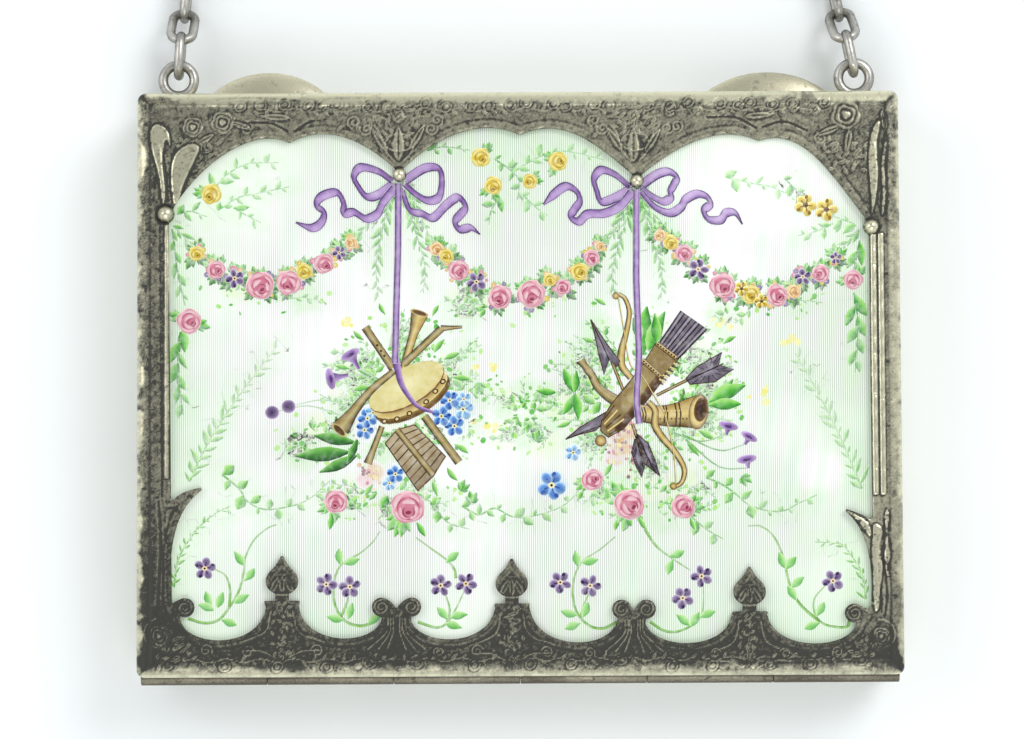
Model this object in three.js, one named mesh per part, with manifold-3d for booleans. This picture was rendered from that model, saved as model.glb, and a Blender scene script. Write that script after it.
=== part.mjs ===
// Chain purse: a hard silver case with an enamelled front under a pierced border, on a link chain.
// Millimetres. The purse lies on its back. +Z is the enamel side, +Y the top edge that carries the
// chain, +X the right-hand side, and the origin is the middle of the flat back.
import * as THREE from 'three';
import { mergeVertices } from 'three/addons/utils/BufferGeometryUtils.js';
import Module from 'manifold-3d';

const wasm = await Module();
wasm.setup();

// Case
const CASE_WIDTH = 84.6;
const CASE_HEIGHT = 64.8;
const CORNER_RADIUS = 0.9;
const WALL = 1.0;
const HINGE_WALL = 1.75;
const BACK_DEPTH = 5.6;
const BACK_SHEET = 0.9;
const BACK_EDGE_ROUND = 1.2;
const PIECE_GAP = 0.1;
const LID_DEPTH = 4.8;
const LID_SHEET = 0.6;

// Border and plaque
const BORDER_DEPTH = 1.5;
const BORDER_PLATE = 0.7;
const BEVEL_WIDTH = 1.5;
const BEVEL_DROP = 0.9;
const POCKET_MARGIN_X = 2.2;
const POCKET_MARGIN_Y = 2.1;
const PLAQUE_THICKNESS = 0.65;
const PLAQUE_DOME = 0.12;
const PLAQUE_CLEARANCE = 0.15;
const RELIEF_SINK = 0.2;

// Hinge
const KNUCKLE_COUNT = 6;
const KNUCKLE_RADIUS = 0.9;
const KNUCKLE_GAP = 0.2;
const KNUCKLE_RELIEF = 0.25;
const KNUCKLE_SIDES = 12;
const HINGE_PIN_RADIUS = 0.4;
const HINGE_PIN_CLEARANCE = 0.08;

// Thumb pieces
const THUMB_LID = { x: -27.8, z: 8.9, halfWidth: 6.45, rise: 2.5 };
const THUMB_BACK = { x: 28.2, z: 3.9, halfWidth: 7.8, rise: 3.1 };
const THUMB_HALF_DEPTH = 1.15;
const THUMB_TAB_HALF_WIDTH = 2.4;
const THUMB_TAB_HALF_DEPTH = 0.35;
const THUMB_TAB_LENGTH = 1.6;

// Catch
const CATCH_WIDTH = 10.0;
const CATCH_THICKNESS = 0.6;
const CATCH_STAND = 1.6;

// Chain rings and chain
const RING_LEFT_X = -38.3;
const RING_RIGHT_X = 38.1;
const RING_Z = 4.2;
const RING_WIRE_RADIUS = 0.55;
const RING_RADIUS = 1.75;
const RING_SIDES = 12;
const POST_RADIUS = 0.45;
const POST_CLEARANCE = 0.15;
const RIVET_HEAD_RADIUS = 0.85;
const RIVET_HEAD_THICKNESS = 0.4;
const LINK_COUNT = 55;
const LINK_LENGTH = 5.6;
const LINK_WIDTH = 3.55;
const LINK_WIRE_RADIUS = 0.525;
const LINK_BEND = 0.85;
const LINK_SIDES = 10;
const LINK_WIRE_SIDES = 5;
const LINK_BITE = 0.1;
const LINK_RING_GAP = 0.13;
const CHAIN_LEAN_LEFT = 3.5;
const CHAIN_LEAN_RIGHT = -11.0;
const CHAIN_DROP_START = 3.8;
const CHAIN_DROP_END = 8.0;
const CHAIN_FLOOR_GAP = 0.05;
const CHAIN_ROLL = 45.0;
const CHAIN_ROLL_START = 14.0;
const CHAIN_ROLL_END = 44.0;

// Levels that follow from the sizes above
const TOP_Y = CASE_HEIGHT / 2;
const SIDE_X = CASE_WIDTH / 2;
const LID_Z = BACK_DEPTH + PIECE_GAP;
const LID_TOP_Z = LID_Z + LID_DEPTH;
const BORDER_Z = LID_TOP_Z + PIECE_GAP;
const BORDER_TOP_Z = BORDER_Z + BORDER_DEPTH;
const PLATE_Z = BORDER_TOP_Z - BORDER_PLATE;
const HINGE_Y = -TOP_Y;
const HINGE_Z = BACK_DEPTH + PIECE_GAP / 2;
const RING_Y = TOP_Y + RING_RADIUS + RING_WIRE_RADIUS + POST_CLEARANCE;
const LINK_HALF = LINK_WIDTH / 2 - LINK_WIRE_RADIUS;
const LINK_END = LINK_LENGTH / 2 - LINK_WIRE_RADIUS;

// Arches along the top of the opening, each of two lobes that meet at a cusp
const ARCH_LOBES = [
  { from: [-38.2, 19.7], rise: [-35.0, 24.8], crown: [-29.4, 28.7], to: [-25.4, 26.75] },
  { from: [-25.4, 26.75], rise: [-22.4, 28.4], crown: [-18.6, 28.4], to: [-13.55, 23.7] },
  { from: [-12.9, 23.7], rise: [-9.65, 27.0], crown: [-4.5, 29.8], to: [0.15, 27.55] },
  { from: [0.15, 27.55], rise: [4.9, 29.6], crown: [8.2, 27.0], to: [12.85, 22.9] },
  { from: [13.5, 22.9], rise: [17.1, 25.9], crown: [22.0, 29.0], to: [26.7, 26.8] },
  { from: [26.7, 26.8], rise: [31.4, 28.4], crown: [34.2, 23.9], to: [38.45, 18.15] },
];

// Scallops along the bottom of the opening
const SCALLOPS = [
  { left: [-37.9, -25.4], low: -28.3, right: [-28.0, -24.75] },
  { left: [-24.4, -24.75], low: -28.15, right: [-15.2, -25.85] },
  { left: [-12.2, -25.85], low: -28.3, right: [-2.8, -24.9] },
  { left: [1.0, -24.9], low: -28.7, right: [10.7, -26.2] },
  { left: [13.55, -26.2], low: -28.85, right: [23.25, -25.9] },
  { left: [27.2, -25.9], low: -28.95, right: [37.1, -26.6] },
];
const SCALLOP_LEAN = 0.07;

// Inner edges of the side columns
const COLUMN_LEFT = { topX: -38.8, topY: 17.7, lowX: -38.4, lowY: -24.0 };
const COLUMN_RIGHT = { topX: 38.85, topY: 16.0, lowX: 38.95, lowY: -24.5 };

// Spires with spade heads that stand up from the bottom border
const SPIRES = [
  { x: -26.25, tipY: -18.8 },
  { x: -0.95, tipY: -19.2 },
  { x: 25.25, tipY: -20.2 },
];
const SPIRE_HEAD_HALF = 1.78;
const SPIRE_HEAD_DROP = 3.05;
const SPIRE_NECK_HALF = 0.74;
const SPIRE_NECK_DROP = 4.4;
const SPIRE_EAR_HALF = 2.02;
const SPIRE_EAR_DROP = 5.2;
const SPIRE_FOOT_HALF = 2.1;
const SPIRE_FOOT_DROP = 7.6;

// Paired volutes between the spires, and single ones in the bottom corners
const VOLUTE_PAIRS = [
  { x: -13.65, y: -24.75, reach: 1.65 },
  { x: 12.5, y: -25.1, reach: 1.35 },
];
const CORNER_VOLUTES = [
  { x: -36.95, y: -24.7, side: -1 },
  { x: 36.8, y: -25.65, side: 1 },
];
const VOLUTE_RADIUS = 1.05;
const VOLUTE_STEM_DROP = 3.2;

// Thorns on the columns: the side each stands on, and its tip, crotch, waist and foot
const THORNS = [
  {
    side: -1, crotch: [-38.1, -12.8], brow: [-37.35, -11.75], tip: [-34.6, -11.4],
    waist: [-39.0, -14.0], foot: [-38.5, -22.5],
  },
  {
    side: 1, crotch: [38.7, -15.25], brow: [37.0, -14.45], tip: [35.3, -13.95],
    waist: [39.2, -16.3], foot: [38.7, -24.4],
  },
];

// Ball studs soldered where the arches end
const STUDS = [
  { x: -39.1, y: 18.8, radius: 0.95 },
  { x: -13.2, y: 23.1, radius: 0.75 },
  { x: 13.15, y: 22.3, radius: 0.75 },
  { x: 39.1, y: 17.1, radius: 0.85 },
];

// Raised work on the border
const ROSES = [
  { x: -36.1, y: 28.5, radius: 1.3 },
  { x: -32.8, y: 29.0, radius: 1.45 },
  { x: 36.4, y: 29.6, radius: 1.9 },
  { x: -39.8, y: -27.75, radius: 1.3 },
  { x: 39.7, y: -28.2, radius: 1.15 },
  { x: -13.3, y: 29.6, radius: 0.8 },
  { x: 12.8, y: 29.6, radius: 0.8 },
];
const ROSE_HEIGHT = 0.35;
const LEAVES = [
  { x: -39.9, y: 24.6, turn: 96, length: 7.0, width: 1.5 },
  { x: -38.0, y: 23.2, turn: 78, length: 5.0, width: 1.2 },
  { x: 39.7, y: 23.4, turn: 86, length: 8.5, width: 1.6 },
  { x: 37.9, y: 22.0, turn: 112, length: 5.0, width: 1.2 },
  { x: -13.3, y: 26.6, turn: 90, length: 4.0, width: 1.6 },
  { x: -15.4, y: 27.0, turn: 122, length: 3.2, width: 1.0 },
  { x: -11.2, y: 27.3, turn: 58, length: 3.2, width: 1.0 },
  { x: 12.8, y: 26.4, turn: 90, length: 4.0, width: 1.6 },
  { x: 10.7, y: 27.0, turn: 122, length: 3.2, width: 1.0 },
  { x: 14.9, y: 26.8, turn: 58, length: 3.2, width: 1.0 },
  { x: -27.0, y: 29.6, turn: 176, length: 3.4, width: 0.9 },
  { x: 26.8, y: 29.6, turn: 4, length: 3.4, width: 0.9 },
];
const LEAF_HEIGHT = 0.18;
const RODS = [
  { x: -39.1, fromY: -10.5, toY: 16.2, radius: 0.38 },
  { x: 39.45, fromY: -12.0, toY: 14.6, radius: 0.3 },
  { x: 40.25, fromY: -12.0, toY: 14.6, radius: 0.3 },
];

// Turns a closed geometry into a solid, with shared vertices merged and collapsed faces dropped.
function toSolid(geometry) {
  const bare = geometry.clone();
  bare.deleteAttribute('normal');
  bare.deleteAttribute('uv');
  const merged = mergeVertices(bare, 1e-4);
  const index = merged.index.array;
  const triangles = [];
  for (let i = 0; i < index.length; i += 3) {
    const [a, b, c] = [index[i], index[i + 1], index[i + 2]];
    if (a !== b && b !== c && c !== a) triangles.push(a, b, c);
  }
  return new wasm.Manifold(new wasm.Mesh({
    numProp: 3,
    vertProperties: new Float32Array(merged.attributes.position.array),
    triVerts: new Uint32Array(triangles),
  }));
}

// Turns a solid back into a geometry.
function toGeometry(solid) {
  const mesh = solid.getMesh();
  const geometry = new THREE.BufferGeometry();
  geometry.setAttribute('position', new THREE.BufferAttribute(new Float32Array(mesh.vertProperties), 3));
  geometry.setIndex(new THREE.BufferAttribute(new Uint32Array(mesh.triVerts), 1));
  geometry.computeVertexNormals();
  return geometry;
}

function boxSolid(lowX, highX, lowY, highY, lowZ, highZ) {
  const geometry = new THREE.BoxGeometry(highX - lowX, highY - lowY, highZ - lowZ);
  geometry.translate((lowX + highX) / 2, (lowY + highY) / 2, (lowZ + highZ) / 2);
  return toSolid(geometry);
}

function plateSolid(shape, lowZ, highZ, curveSegments = 4) {
  const geometry = new THREE.ExtrudeGeometry(shape, {
    depth: highZ - lowZ, bevelEnabled: false, curveSegments,
  });
  geometry.translate(0, 0, lowZ);
  return toSolid(geometry);
}

// A cylinder along X, as the hinge's parts are.
function rodAlongX(radius, lowX, highX, y, z, sides) {
  const geometry = new THREE.CylinderGeometry(radius, radius, highX - lowX, sides);
  geometry.rotateZ(Math.PI / 2);
  geometry.translate((lowX + highX) / 2, y, z);
  return toSolid(geometry);
}

// A cylinder along Y, as the rods on the columns and the rivet posts are.
function rodAlongY(radius, x, lowY, highY, z, sides) {
  const geometry = new THREE.CylinderGeometry(radius, radius, highY - lowY, sides);
  geometry.translate(x, (lowY + highY) / 2, z);
  return toSolid(geometry);
}

function join(solids) {
  return solids.reduce((sum, solid) => sum.add(solid));
}

function cut(solid, tools) {
  return tools.reduce((rest, tool) => rest.subtract(tool), solid);
}

// The case's outline, with its small round corners.
function caseOutline() {
  const [x, y, r] = [SIDE_X, TOP_Y, CORNER_RADIUS];
  const outline = new THREE.Shape();
  outline.moveTo(x - r, -y);
  outline.absarc(x - r, -y + r, r, -Math.PI / 2, 0);
  outline.absarc(x - r, y - r, r, 0, Math.PI / 2);
  outline.absarc(-x + r, y - r, r, Math.PI / 2, Math.PI);
  outline.absarc(-x + r, -y + r, r, Math.PI, 1.5 * Math.PI);
  return outline;
}

// A block with the case's outline whose rims are rounded over and mitred at the corners.
function roundedBlock(lowZ, highZ, roundWidth, roundHeight) {
  const square = new THREE.Shape();
  square.moveTo(-SIDE_X, -TOP_Y);
  square.lineTo(SIDE_X, -TOP_Y);
  square.lineTo(SIDE_X, TOP_Y);
  square.lineTo(-SIDE_X, TOP_Y);
  const geometry = new THREE.ExtrudeGeometry(square, {
    depth: highZ - lowZ - 2 * roundHeight,
    bevelEnabled: true,
    bevelThickness: roundHeight,
    bevelSize: roundWidth,
    bevelOffset: -roundWidth,
    bevelSegments: 3,
  });
  geometry.translate(0, 0, lowZ + roundHeight);
  return toSolid(geometry).intersect(plateSolid(caseOutline(), lowZ, highZ, 3));
}

// Box that removes everything on one side of a level.
function everythingAbove(z) {
  return boxSolid(-CASE_WIDTH, CASE_WIDTH, -CASE_HEIGHT, CASE_HEIGHT, z, z + CASE_HEIGHT);
}

function everythingBelow(z) {
  return boxSolid(-CASE_WIDTH, CASE_WIDTH, -CASE_HEIGHT, CASE_HEIGHT, z - CASE_HEIGHT, z);
}

// The hollow of a tray, with a thicker wall on the hinge side.
function trayHollow(lowZ, highZ) {
  return boxSolid(-SIDE_X + WALL, SIDE_X - WALL, -TOP_Y + HINGE_WALL, TOP_Y - WALL, lowZ, highZ);
}

// Ends of one knuckle along X.
function knuckleSpan(index) {
  const pitch = CASE_WIDTH / KNUCKLE_COUNT;
  return [-SIDE_X + index * pitch, -SIDE_X + (index + 1) * pitch];
}

// Solders every second knuckle to a tray, and cuts the tray back round the other tray's knuckles.
function addKnuckles(tray, firstKnuckle) {
  let made = tray;
  for (let i = 0; i < KNUCKLE_COUNT; i += 1) {
    const [low, high] = knuckleSpan(i);
    if (i % 2 === firstKnuckle) {
      const barrel = rodAlongX(
        KNUCKLE_RADIUS, low + KNUCKLE_GAP / 2, high - KNUCKLE_GAP / 2, HINGE_Y, HINGE_Z, KNUCKLE_SIDES,
      );
      made = made.add(barrel);
    } else {
      const relief = rodAlongX(
        KNUCKLE_RADIUS + KNUCKLE_RELIEF, low - KNUCKLE_GAP / 2, high + KNUCKLE_GAP / 2,
        HINGE_Y, HINGE_Z, KNUCKLE_SIDES,
      );
      made = made.subtract(relief);
    }
  }
  const bore = rodAlongX(
    HINGE_PIN_RADIUS + HINGE_PIN_CLEARANCE, -CASE_WIDTH, CASE_WIDTH, HINGE_Y, HINGE_Z, KNUCKLE_SIDES,
  );
  return made.subtract(bore);
}

// Slot in the top wall for a thumb piece's tab.
function thumbSlot({ x, z }) {
  const grow = POST_CLEARANCE;
  return boxSolid(
    x - THUMB_TAB_HALF_WIDTH - grow, x + THUMB_TAB_HALF_WIDTH + grow,
    TOP_Y - 2 * WALL, TOP_Y + WALL,
    z - THUMB_TAB_HALF_DEPTH - grow, z + THUMB_TAB_HALF_DEPTH + grow,
  );
}

function buildBackShell() {
  const block = roundedBlock(0, BACK_DEPTH + 2 * BACK_EDGE_ROUND, BACK_EDGE_ROUND, BACK_EDGE_ROUND);
  const postHoles = [RING_LEFT_X, RING_RIGHT_X].map((x) => rodAlongY(
    POST_RADIUS + POST_CLEARANCE, x, TOP_Y - 2 * WALL, TOP_Y + WALL, RING_Z, 8,
  ));
  const tray = cut(block, [
    everythingAbove(BACK_DEPTH),
    trayHollow(BACK_SHEET, CASE_HEIGHT),
    thumbSlot(THUMB_BACK),
    ...postHoles,
  ]);
  return addKnuckles(tray, 0);
}

function buildLidShell() {
  const tray = cut(plateSolid(caseOutline(), LID_Z, LID_TOP_Z, 3), [
    trayHollow(0, LID_TOP_Z - LID_SHEET),
    thumbSlot(THUMB_LID),
  ]);
  return addKnuckles(tray, 1);
}

function buildHingePin() {
  return rodAlongX(
    HINGE_PIN_RADIUS, -SIDE_X + KNUCKLE_GAP, SIDE_X - KNUCKLE_GAP, HINGE_Y, HINGE_Z, KNUCKLE_SIDES,
  );
}

// The enamel plate: a thin block whose front swells towards its middle.
function buildPlaque() {
  const halfX = SIDE_X - POCKET_MARGIN_X - PLAQUE_CLEARANCE;
  const halfY = TOP_Y - POCKET_MARGIN_Y - PLAQUE_CLEARANCE;
  const geometry = new THREE.BoxGeometry(2 * halfX, 2 * halfY, PLAQUE_THICKNESS, 8, 6, 1);
  const position = geometry.attributes.position;
  for (let i = 0; i < position.count; i += 1) {
    if (position.getZ(i) > 0) {
      const u = position.getX(i) / halfX;
      const v = position.getY(i) / halfY;
      position.setZ(i, position.getZ(i) + PLAQUE_DOME * (1 - u * u) * (1 - v * v));
    }
  }
  geometry.translate(0, 0, BORDER_Z + PLAQUE_THICKNESS / 2);
  return toSolid(geometry);
}

// The opening that shows the enamel, before the ornaments stand into it.
function openingShape() {
  const shape = new THREE.Shape();
  shape.moveTo(...ARCH_LOBES[0].from);
  for (const lobe of ARCH_LOBES) {
    shape.lineTo(...lobe.from);
    shape.bezierCurveTo(...lobe.rise, ...lobe.crown, ...lobe.to);
  }
  shape.lineTo(COLUMN_RIGHT.topX, COLUMN_RIGHT.topY);
  shape.lineTo(COLUMN_RIGHT.lowX, COLUMN_RIGHT.lowY);
  for (const scallop of [...SCALLOPS].reverse()) {
    const { left, low, right } = scallop;
    const bend = (8 * low - left[1] - right[1]) / 6;
    const lean = SCALLOP_LEAN * (right[0] - left[0]);
    shape.lineTo(...right);
    shape.bezierCurveTo(right[0] - lean, bend, left[0] + lean, bend, ...left);
  }
  shape.lineTo(COLUMN_LEFT.lowX, COLUMN_LEFT.lowY);
  shape.lineTo(COLUMN_LEFT.topX, COLUMN_LEFT.topY);
  return shape;
}

// A shape from the right half of an outline that is drawn down from the axis.
function mirroredShape(half, divisions) {
  const right = half.getPoints(divisions);
  const left = right.filter((p) => p.x > 1e-6).map((p) => new THREE.Vector2(-p.x, p.y)).reverse();
  return new THREE.Shape([...right, ...left]);
}

function spireSolid({ x, tipY }) {
  const half = new THREE.Path();
  half.moveTo(0, 0);
  half.quadraticCurveTo(0.4, -1.1, 1.15, -1.8);
  half.quadraticCurveTo(SPIRE_HEAD_HALF, -2.4, SPIRE_HEAD_HALF, -SPIRE_HEAD_DROP);
  half.quadraticCurveTo(SPIRE_HEAD_HALF, -4.0, SPIRE_NECK_HALF, -SPIRE_NECK_DROP);
  half.lineTo(SPIRE_NECK_HALF, -SPIRE_EAR_DROP);
  half.lineTo(SPIRE_EAR_HALF, -SPIRE_EAR_DROP);
  half.lineTo(SPIRE_EAR_HALF - 0.3, -SPIRE_EAR_DROP - 0.8);
  half.lineTo(SPIRE_FOOT_HALF, -SPIRE_FOOT_DROP);
  const solid = plateSolid(mirroredShape(half, 3), PLATE_Z, BORDER_TOP_Z);
  return solid.translate([x, tipY, 0]);
}

function discSolid(x, y, radius) {
  const shape = new THREE.Shape();
  shape.absarc(x, y, radius, 0, 2 * Math.PI);
  return plateSolid(shape, PLATE_Z, BORDER_TOP_Z, 6);
}

// Two scrolls that part from one stem and curl outwards.
function volutePairSolid({ x, y, reach }) {
  const stem = new THREE.Path();
  stem.moveTo(0, -0.35);
  stem.quadraticCurveTo(0.35, 0.75, reach, VOLUTE_RADIUS);
  stem.lineTo(reach, -VOLUTE_RADIUS);
  stem.quadraticCurveTo(reach - 0.3, -1.7, reach - 0.1, -VOLUTE_STEM_DROP);
  const stemSolid = plateSolid(mirroredShape(stem, 3), PLATE_Z, BORDER_TOP_Z).translate([x, y, 0]);
  return join([
    stemSolid,
    discSolid(x - reach, y, VOLUTE_RADIUS),
    discSolid(x + reach, y, VOLUTE_RADIUS),
  ]);
}

// One scroll that curls inwards from a bottom corner.
function cornerVoluteSolid({ x, y, side }) {
  const stem = new THREE.Shape();
  stem.moveTo(x, y + VOLUTE_RADIUS);
  stem.quadraticCurveTo(x + side * 1.3, y + 0.9, x + side * 2.6, y - 0.9);
  stem.lineTo(x + side * 2.6, y - VOLUTE_STEM_DROP);
  stem.lineTo(x - side * 1.0, y - VOLUTE_STEM_DROP);
  stem.quadraticCurveTo(x + side * 0.7, y - 1.9, x + side * 0.6, y - 0.8);
  return join([plateSolid(stem, PLATE_Z, BORDER_TOP_Z, 3), discSolid(x, y, VOLUTE_RADIUS)]);
}

function thornSolid({ side, crotch, brow, tip, waist, foot }) {
  const root = SIDE_X - POCKET_MARGIN_X;
  const shape = new THREE.Shape();
  shape.moveTo(side * root, crotch[1]);
  shape.lineTo(...crotch);
  shape.quadraticCurveTo(...brow, ...tip);
  shape.quadraticCurveTo(...waist, ...foot);
  shape.lineTo(side * root, foot[1]);
  return plateSolid(shape, PLATE_Z, BORDER_TOP_Z, 5);
}

function studSolid({ x, y, radius }) {
  const geometry = new THREE.SphereGeometry(radius, 10, 6);
  geometry.rotateX(Math.PI / 2);
  geometry.translate(x, y, BORDER_TOP_Z);
  return toSolid(geometry).subtract(everythingBelow(PLATE_Z));
}

// A rose as a turned form: an outer round of petals, a hollow and a bud.
function roseSolid({ x, y, radius }) {
  const profile = [
    [0, -RELIEF_SINK],
    [radius, -RELIEF_SINK],
    [radius * 0.85, ROSE_HEIGHT * 0.7],
    [radius * 0.58, ROSE_HEIGHT * 0.4],
    [radius * 0.42, ROSE_HEIGHT],
    [0, ROSE_HEIGHT],
  ].map(([r, h]) => new THREE.Vector2(r, h));
  const geometry = new THREE.LatheGeometry(profile, 8);
  geometry.rotateX(Math.PI / 2);
  geometry.translate(x, y, BORDER_TOP_Z);
  return toSolid(geometry);
}

function leafSolid({ x, y, turn, length, width }) {
  const shape = new THREE.Shape();
  shape.moveTo(-length / 2, 0);
  shape.quadraticCurveTo(0, -width, length / 2, 0);
  shape.quadraticCurveTo(0, width, -length / 2, 0);
  const geometry = new THREE.ExtrudeGeometry(shape, {
    depth: RELIEF_SINK + LEAF_HEIGHT, bevelEnabled: false, curveSegments: 3,
  });
  geometry.rotateZ(THREE.MathUtils.degToRad(turn));
  geometry.translate(x, y, BORDER_TOP_Z - RELIEF_SINK);
  return toSolid(geometry);
}

function rodSolid({ x, fromY, toY, radius }) {
  return rodAlongY(radius, x, fromY, toY, BORDER_TOP_Z, 8);
}

// The border: a plate with a rounded outer rim, hollowed behind for the plaque and cut open in front.
function buildBorder() {
  const block = roundedBlock(
    BORDER_TOP_Z - 2 * BORDER_DEPTH - 2 * BEVEL_DROP, BORDER_TOP_Z, BEVEL_WIDTH, BEVEL_DROP,
  );
  const pocket = boxSolid(
    -SIDE_X + POCKET_MARGIN_X, SIDE_X - POCKET_MARGIN_X,
    -TOP_Y + POCKET_MARGIN_Y, TOP_Y - POCKET_MARGIN_Y,
    BORDER_Z - BORDER_DEPTH, PLATE_Z,
  );
  const opening = plateSolid(openingShape(), PLATE_Z - BORDER_DEPTH, BORDER_TOP_Z + BORDER_DEPTH, 6);
  const plate = cut(block, [everythingBelow(BORDER_Z), pocket, opening]);
  return join([
    plate,
    ...SPIRES.map(spireSolid),
    ...VOLUTE_PAIRS.map(volutePairSolid),
    ...CORNER_VOLUTES.map(cornerVoluteSolid),
    ...THORNS.map(thornSolid),
    ...STUDS.map(studSolid),
    ...ROSES.map(roseSolid),
    ...LEAVES.map(leafSolid),
    ...RODS.map(rodSolid),
  ]);
}

// A thumb piece: the cap of a flattened ball, pointed at both ends, with a tab through the case's
// top wall. The ball's middle lies two rises under the cap's foot.
function buildThumbPiece({ x, z, halfWidth, rise }) {
  const lens = new THREE.SphereGeometry(1, 20, 16);
  const footShare = Math.sqrt(1 - (2 / 3) ** 2);
  lens.scale(halfWidth / footShare, 3 * rise, THUMB_HALF_DEPTH / footShare);
  lens.translate(x, TOP_Y + PIECE_GAP - 2 * rise, z);
  const wallSide = boxSolid(
    x - CASE_WIDTH, x + CASE_WIDTH, TOP_Y - CASE_HEIGHT, TOP_Y + PIECE_GAP, z - BACK_DEPTH, z + BACK_DEPTH,
  );
  const tab = boxSolid(
    x - THUMB_TAB_HALF_WIDTH, x + THUMB_TAB_HALF_WIDTH,
    TOP_Y - THUMB_TAB_LENGTH, TOP_Y + rise / 2,
    z - THUMB_TAB_HALF_DEPTH, z + THUMB_TAB_HALF_DEPTH,
  );
  return toSolid(lens).subtract(wallSide).add(tab);
}

// A plain tongue inside the top wall that holds the lid shut.
function buildCatch() {
  const outerY = TOP_Y - WALL - POST_CLEARANCE;
  return boxSolid(
    -CATCH_WIDTH / 2, CATCH_WIDTH / 2, outerY - CATCH_THICKNESS, outerY,
    BACK_SHEET + PIECE_GAP, BACK_DEPTH + CATCH_STAND,
  );
}

// A ring for the chain, on a post that is riveted inside the top wall.
function buildRing(x) {
  const ring = new THREE.TorusGeometry(RING_RADIUS, RING_WIRE_RADIUS, 6, RING_SIDES);
  ring.translate(x, RING_Y, RING_Z);
  const headY = TOP_Y - WALL - POST_CLEARANCE;
  const post = rodAlongY(POST_RADIUS, x, headY - RIVET_HEAD_THICKNESS, RING_Y - RING_RADIUS, RING_Z, 8);
  const head = rodAlongY(RIVET_HEAD_RADIUS, x, headY - RIVET_HEAD_THICKNESS, headY, RING_Z, 8);
  return join([toSolid(ring), post, head]);
}

// Roll of the links about the chain's run, as a share of the most, at a distance from its nearer end.
function chainRollShare(distance) {
  return THREE.MathUtils.smoothstep(distance, CHAIN_ROLL_START, CHAIN_ROLL_END);
}

// The chain's run: up from one ring, round on the table and back to the other ring.
class ChainRun extends THREE.Curve {
  constructor(reach) {
    super();
    this.arcLengthDivisions = 600;
    const startY = RING_Y + RING_RADIUS - RING_WIRE_RADIUS - LINK_WIRE_RADIUS - LINK_RING_GAP;
    const lean = (degrees) => new THREE.Vector3(
      Math.sin(THREE.MathUtils.degToRad(degrees)), Math.cos(THREE.MathUtils.degToRad(degrees)), 0,
    ).multiplyScalar(reach);
    const left = new THREE.Vector3(RING_LEFT_X, startY, 0);
    const right = new THREE.Vector3(RING_RIGHT_X, startY, 0);
    this.plan = new THREE.CubicBezierCurve3(
      left, left.clone().add(lean(CHAIN_LEAN_LEFT)), right.clone().add(lean(CHAIN_LEAN_RIGHT)), right,
    );
    this.plan.arcLengthDivisions = 600;
    this.planLength = this.plan.getLength();
  }

  // Height of the links' middles: ring height at the ends, then lying on the table.
  heightAt(distance) {
    const roll = THREE.MathUtils.degToRad(CHAIN_ROLL * chainRollShare(distance));
    const lying = LINK_HALF * Math.cos(roll) + LINK_WIRE_RADIUS + CHAIN_FLOOR_GAP;
    const drop = THREE.MathUtils.smoothstep(distance, CHAIN_DROP_START, CHAIN_DROP_END);
    return RING_Z + (lying - RING_Z) * drop;
  }

  getPoint(t, target = new THREE.Vector3()) {
    const point = this.plan.getPointAt(t);
    const distance = this.planLength * Math.min(t, 1 - t);
    return target.set(point.x, point.y, this.heightAt(distance));
  }
}

// Finds the run whose length is that of the whole chain.
function fitChainRun(length) {
  let [short, long] = [length / 8, length];
  for (let i = 0; i < 40; i += 1) {
    const reach = (short + long) / 2;
    if (new ChainRun(reach).getLength() < length) short = reach;
    else long = reach;
  }
  return new ChainRun((short + long) / 2);
}

// One oval link lying in XY, long along Y: a ring drawn out both ways, which leaves a straight
// stretch of wire across each end for the next link to bear on.
function linkGeometry() {
  const geometry = new THREE.TorusGeometry(LINK_BEND, LINK_WIRE_RADIUS, LINK_WIRE_SIDES, LINK_SIDES);
  const spread = LINK_HALF - LINK_BEND;
  const stretch = LINK_END - LINK_BEND * Math.cos(Math.PI / LINK_SIDES);
  const side = (value) => (Math.abs(value) < 1e-6 ? 0 : Math.sign(value));
  const position = geometry.attributes.position;
  for (let i = 0; i < position.count; i += 1) {
    const [x, y] = [position.getX(i), position.getY(i)];
    position.setXY(i, x + side(x) * spread, y + side(y) * stretch);
  }
  return geometry;
}

// Every link of the chain, threaded through the next and fused where they bear on each other.
function buildChain() {
  const innerFlat = LINK_WIRE_RADIUS * Math.cos(Math.PI / LINK_WIRE_SIDES);
  const pitch = 2 * (LINK_END - innerFlat) + LINK_BITE;
  const length = (LINK_COUNT - 1) * pitch + 2 * LINK_END;
  const run = fitChainRun(length);
  const up = new THREE.Vector3(0, 0, 1);
  const links = [];
  for (let i = 0; i < LINK_COUNT; i += 1) {
    const distance = LINK_END + i * pitch;
    const along = run.getTangentAt(distance / length);
    const across = along.clone().cross(up).normalize();
    const over = across.clone().cross(along);
    const share = chainRollShare(Math.min(distance, length - distance));
    const roll = (i % 2 === 0 ? 90 : 0) - CHAIN_ROLL * share;
    const placed = linkGeometry();
    placed.rotateY(THREE.MathUtils.degToRad(roll));
    placed.applyMatrix4(new THREE.Matrix4().makeBasis(across, along, over));
    placed.translate(...run.getPointAt(distance / length).toArray());
    links.push(toSolid(placed));
  }
  return join(links);
}

// Finishes
const SILVER = { color: 0xb9b29a, roughness: 0.38, metalness: 1.0 };
const DARK_SILVER = { color: 0x6f6a60, roughness: 0.5, metalness: 1.0 };
const CHAIN_SILVER = { color: 0xa29d90, roughness: 0.35, metalness: 1.0 };
const ENAMEL = { color: 0xf0f5ee, roughness: 0.12, metalness: 0.0 };

function piece(name, solid, finish) {
  const mesh = new THREE.Mesh(toGeometry(solid), new THREE.MeshStandardMaterial(finish));
  mesh.name = name;
  return mesh;
}

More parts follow.
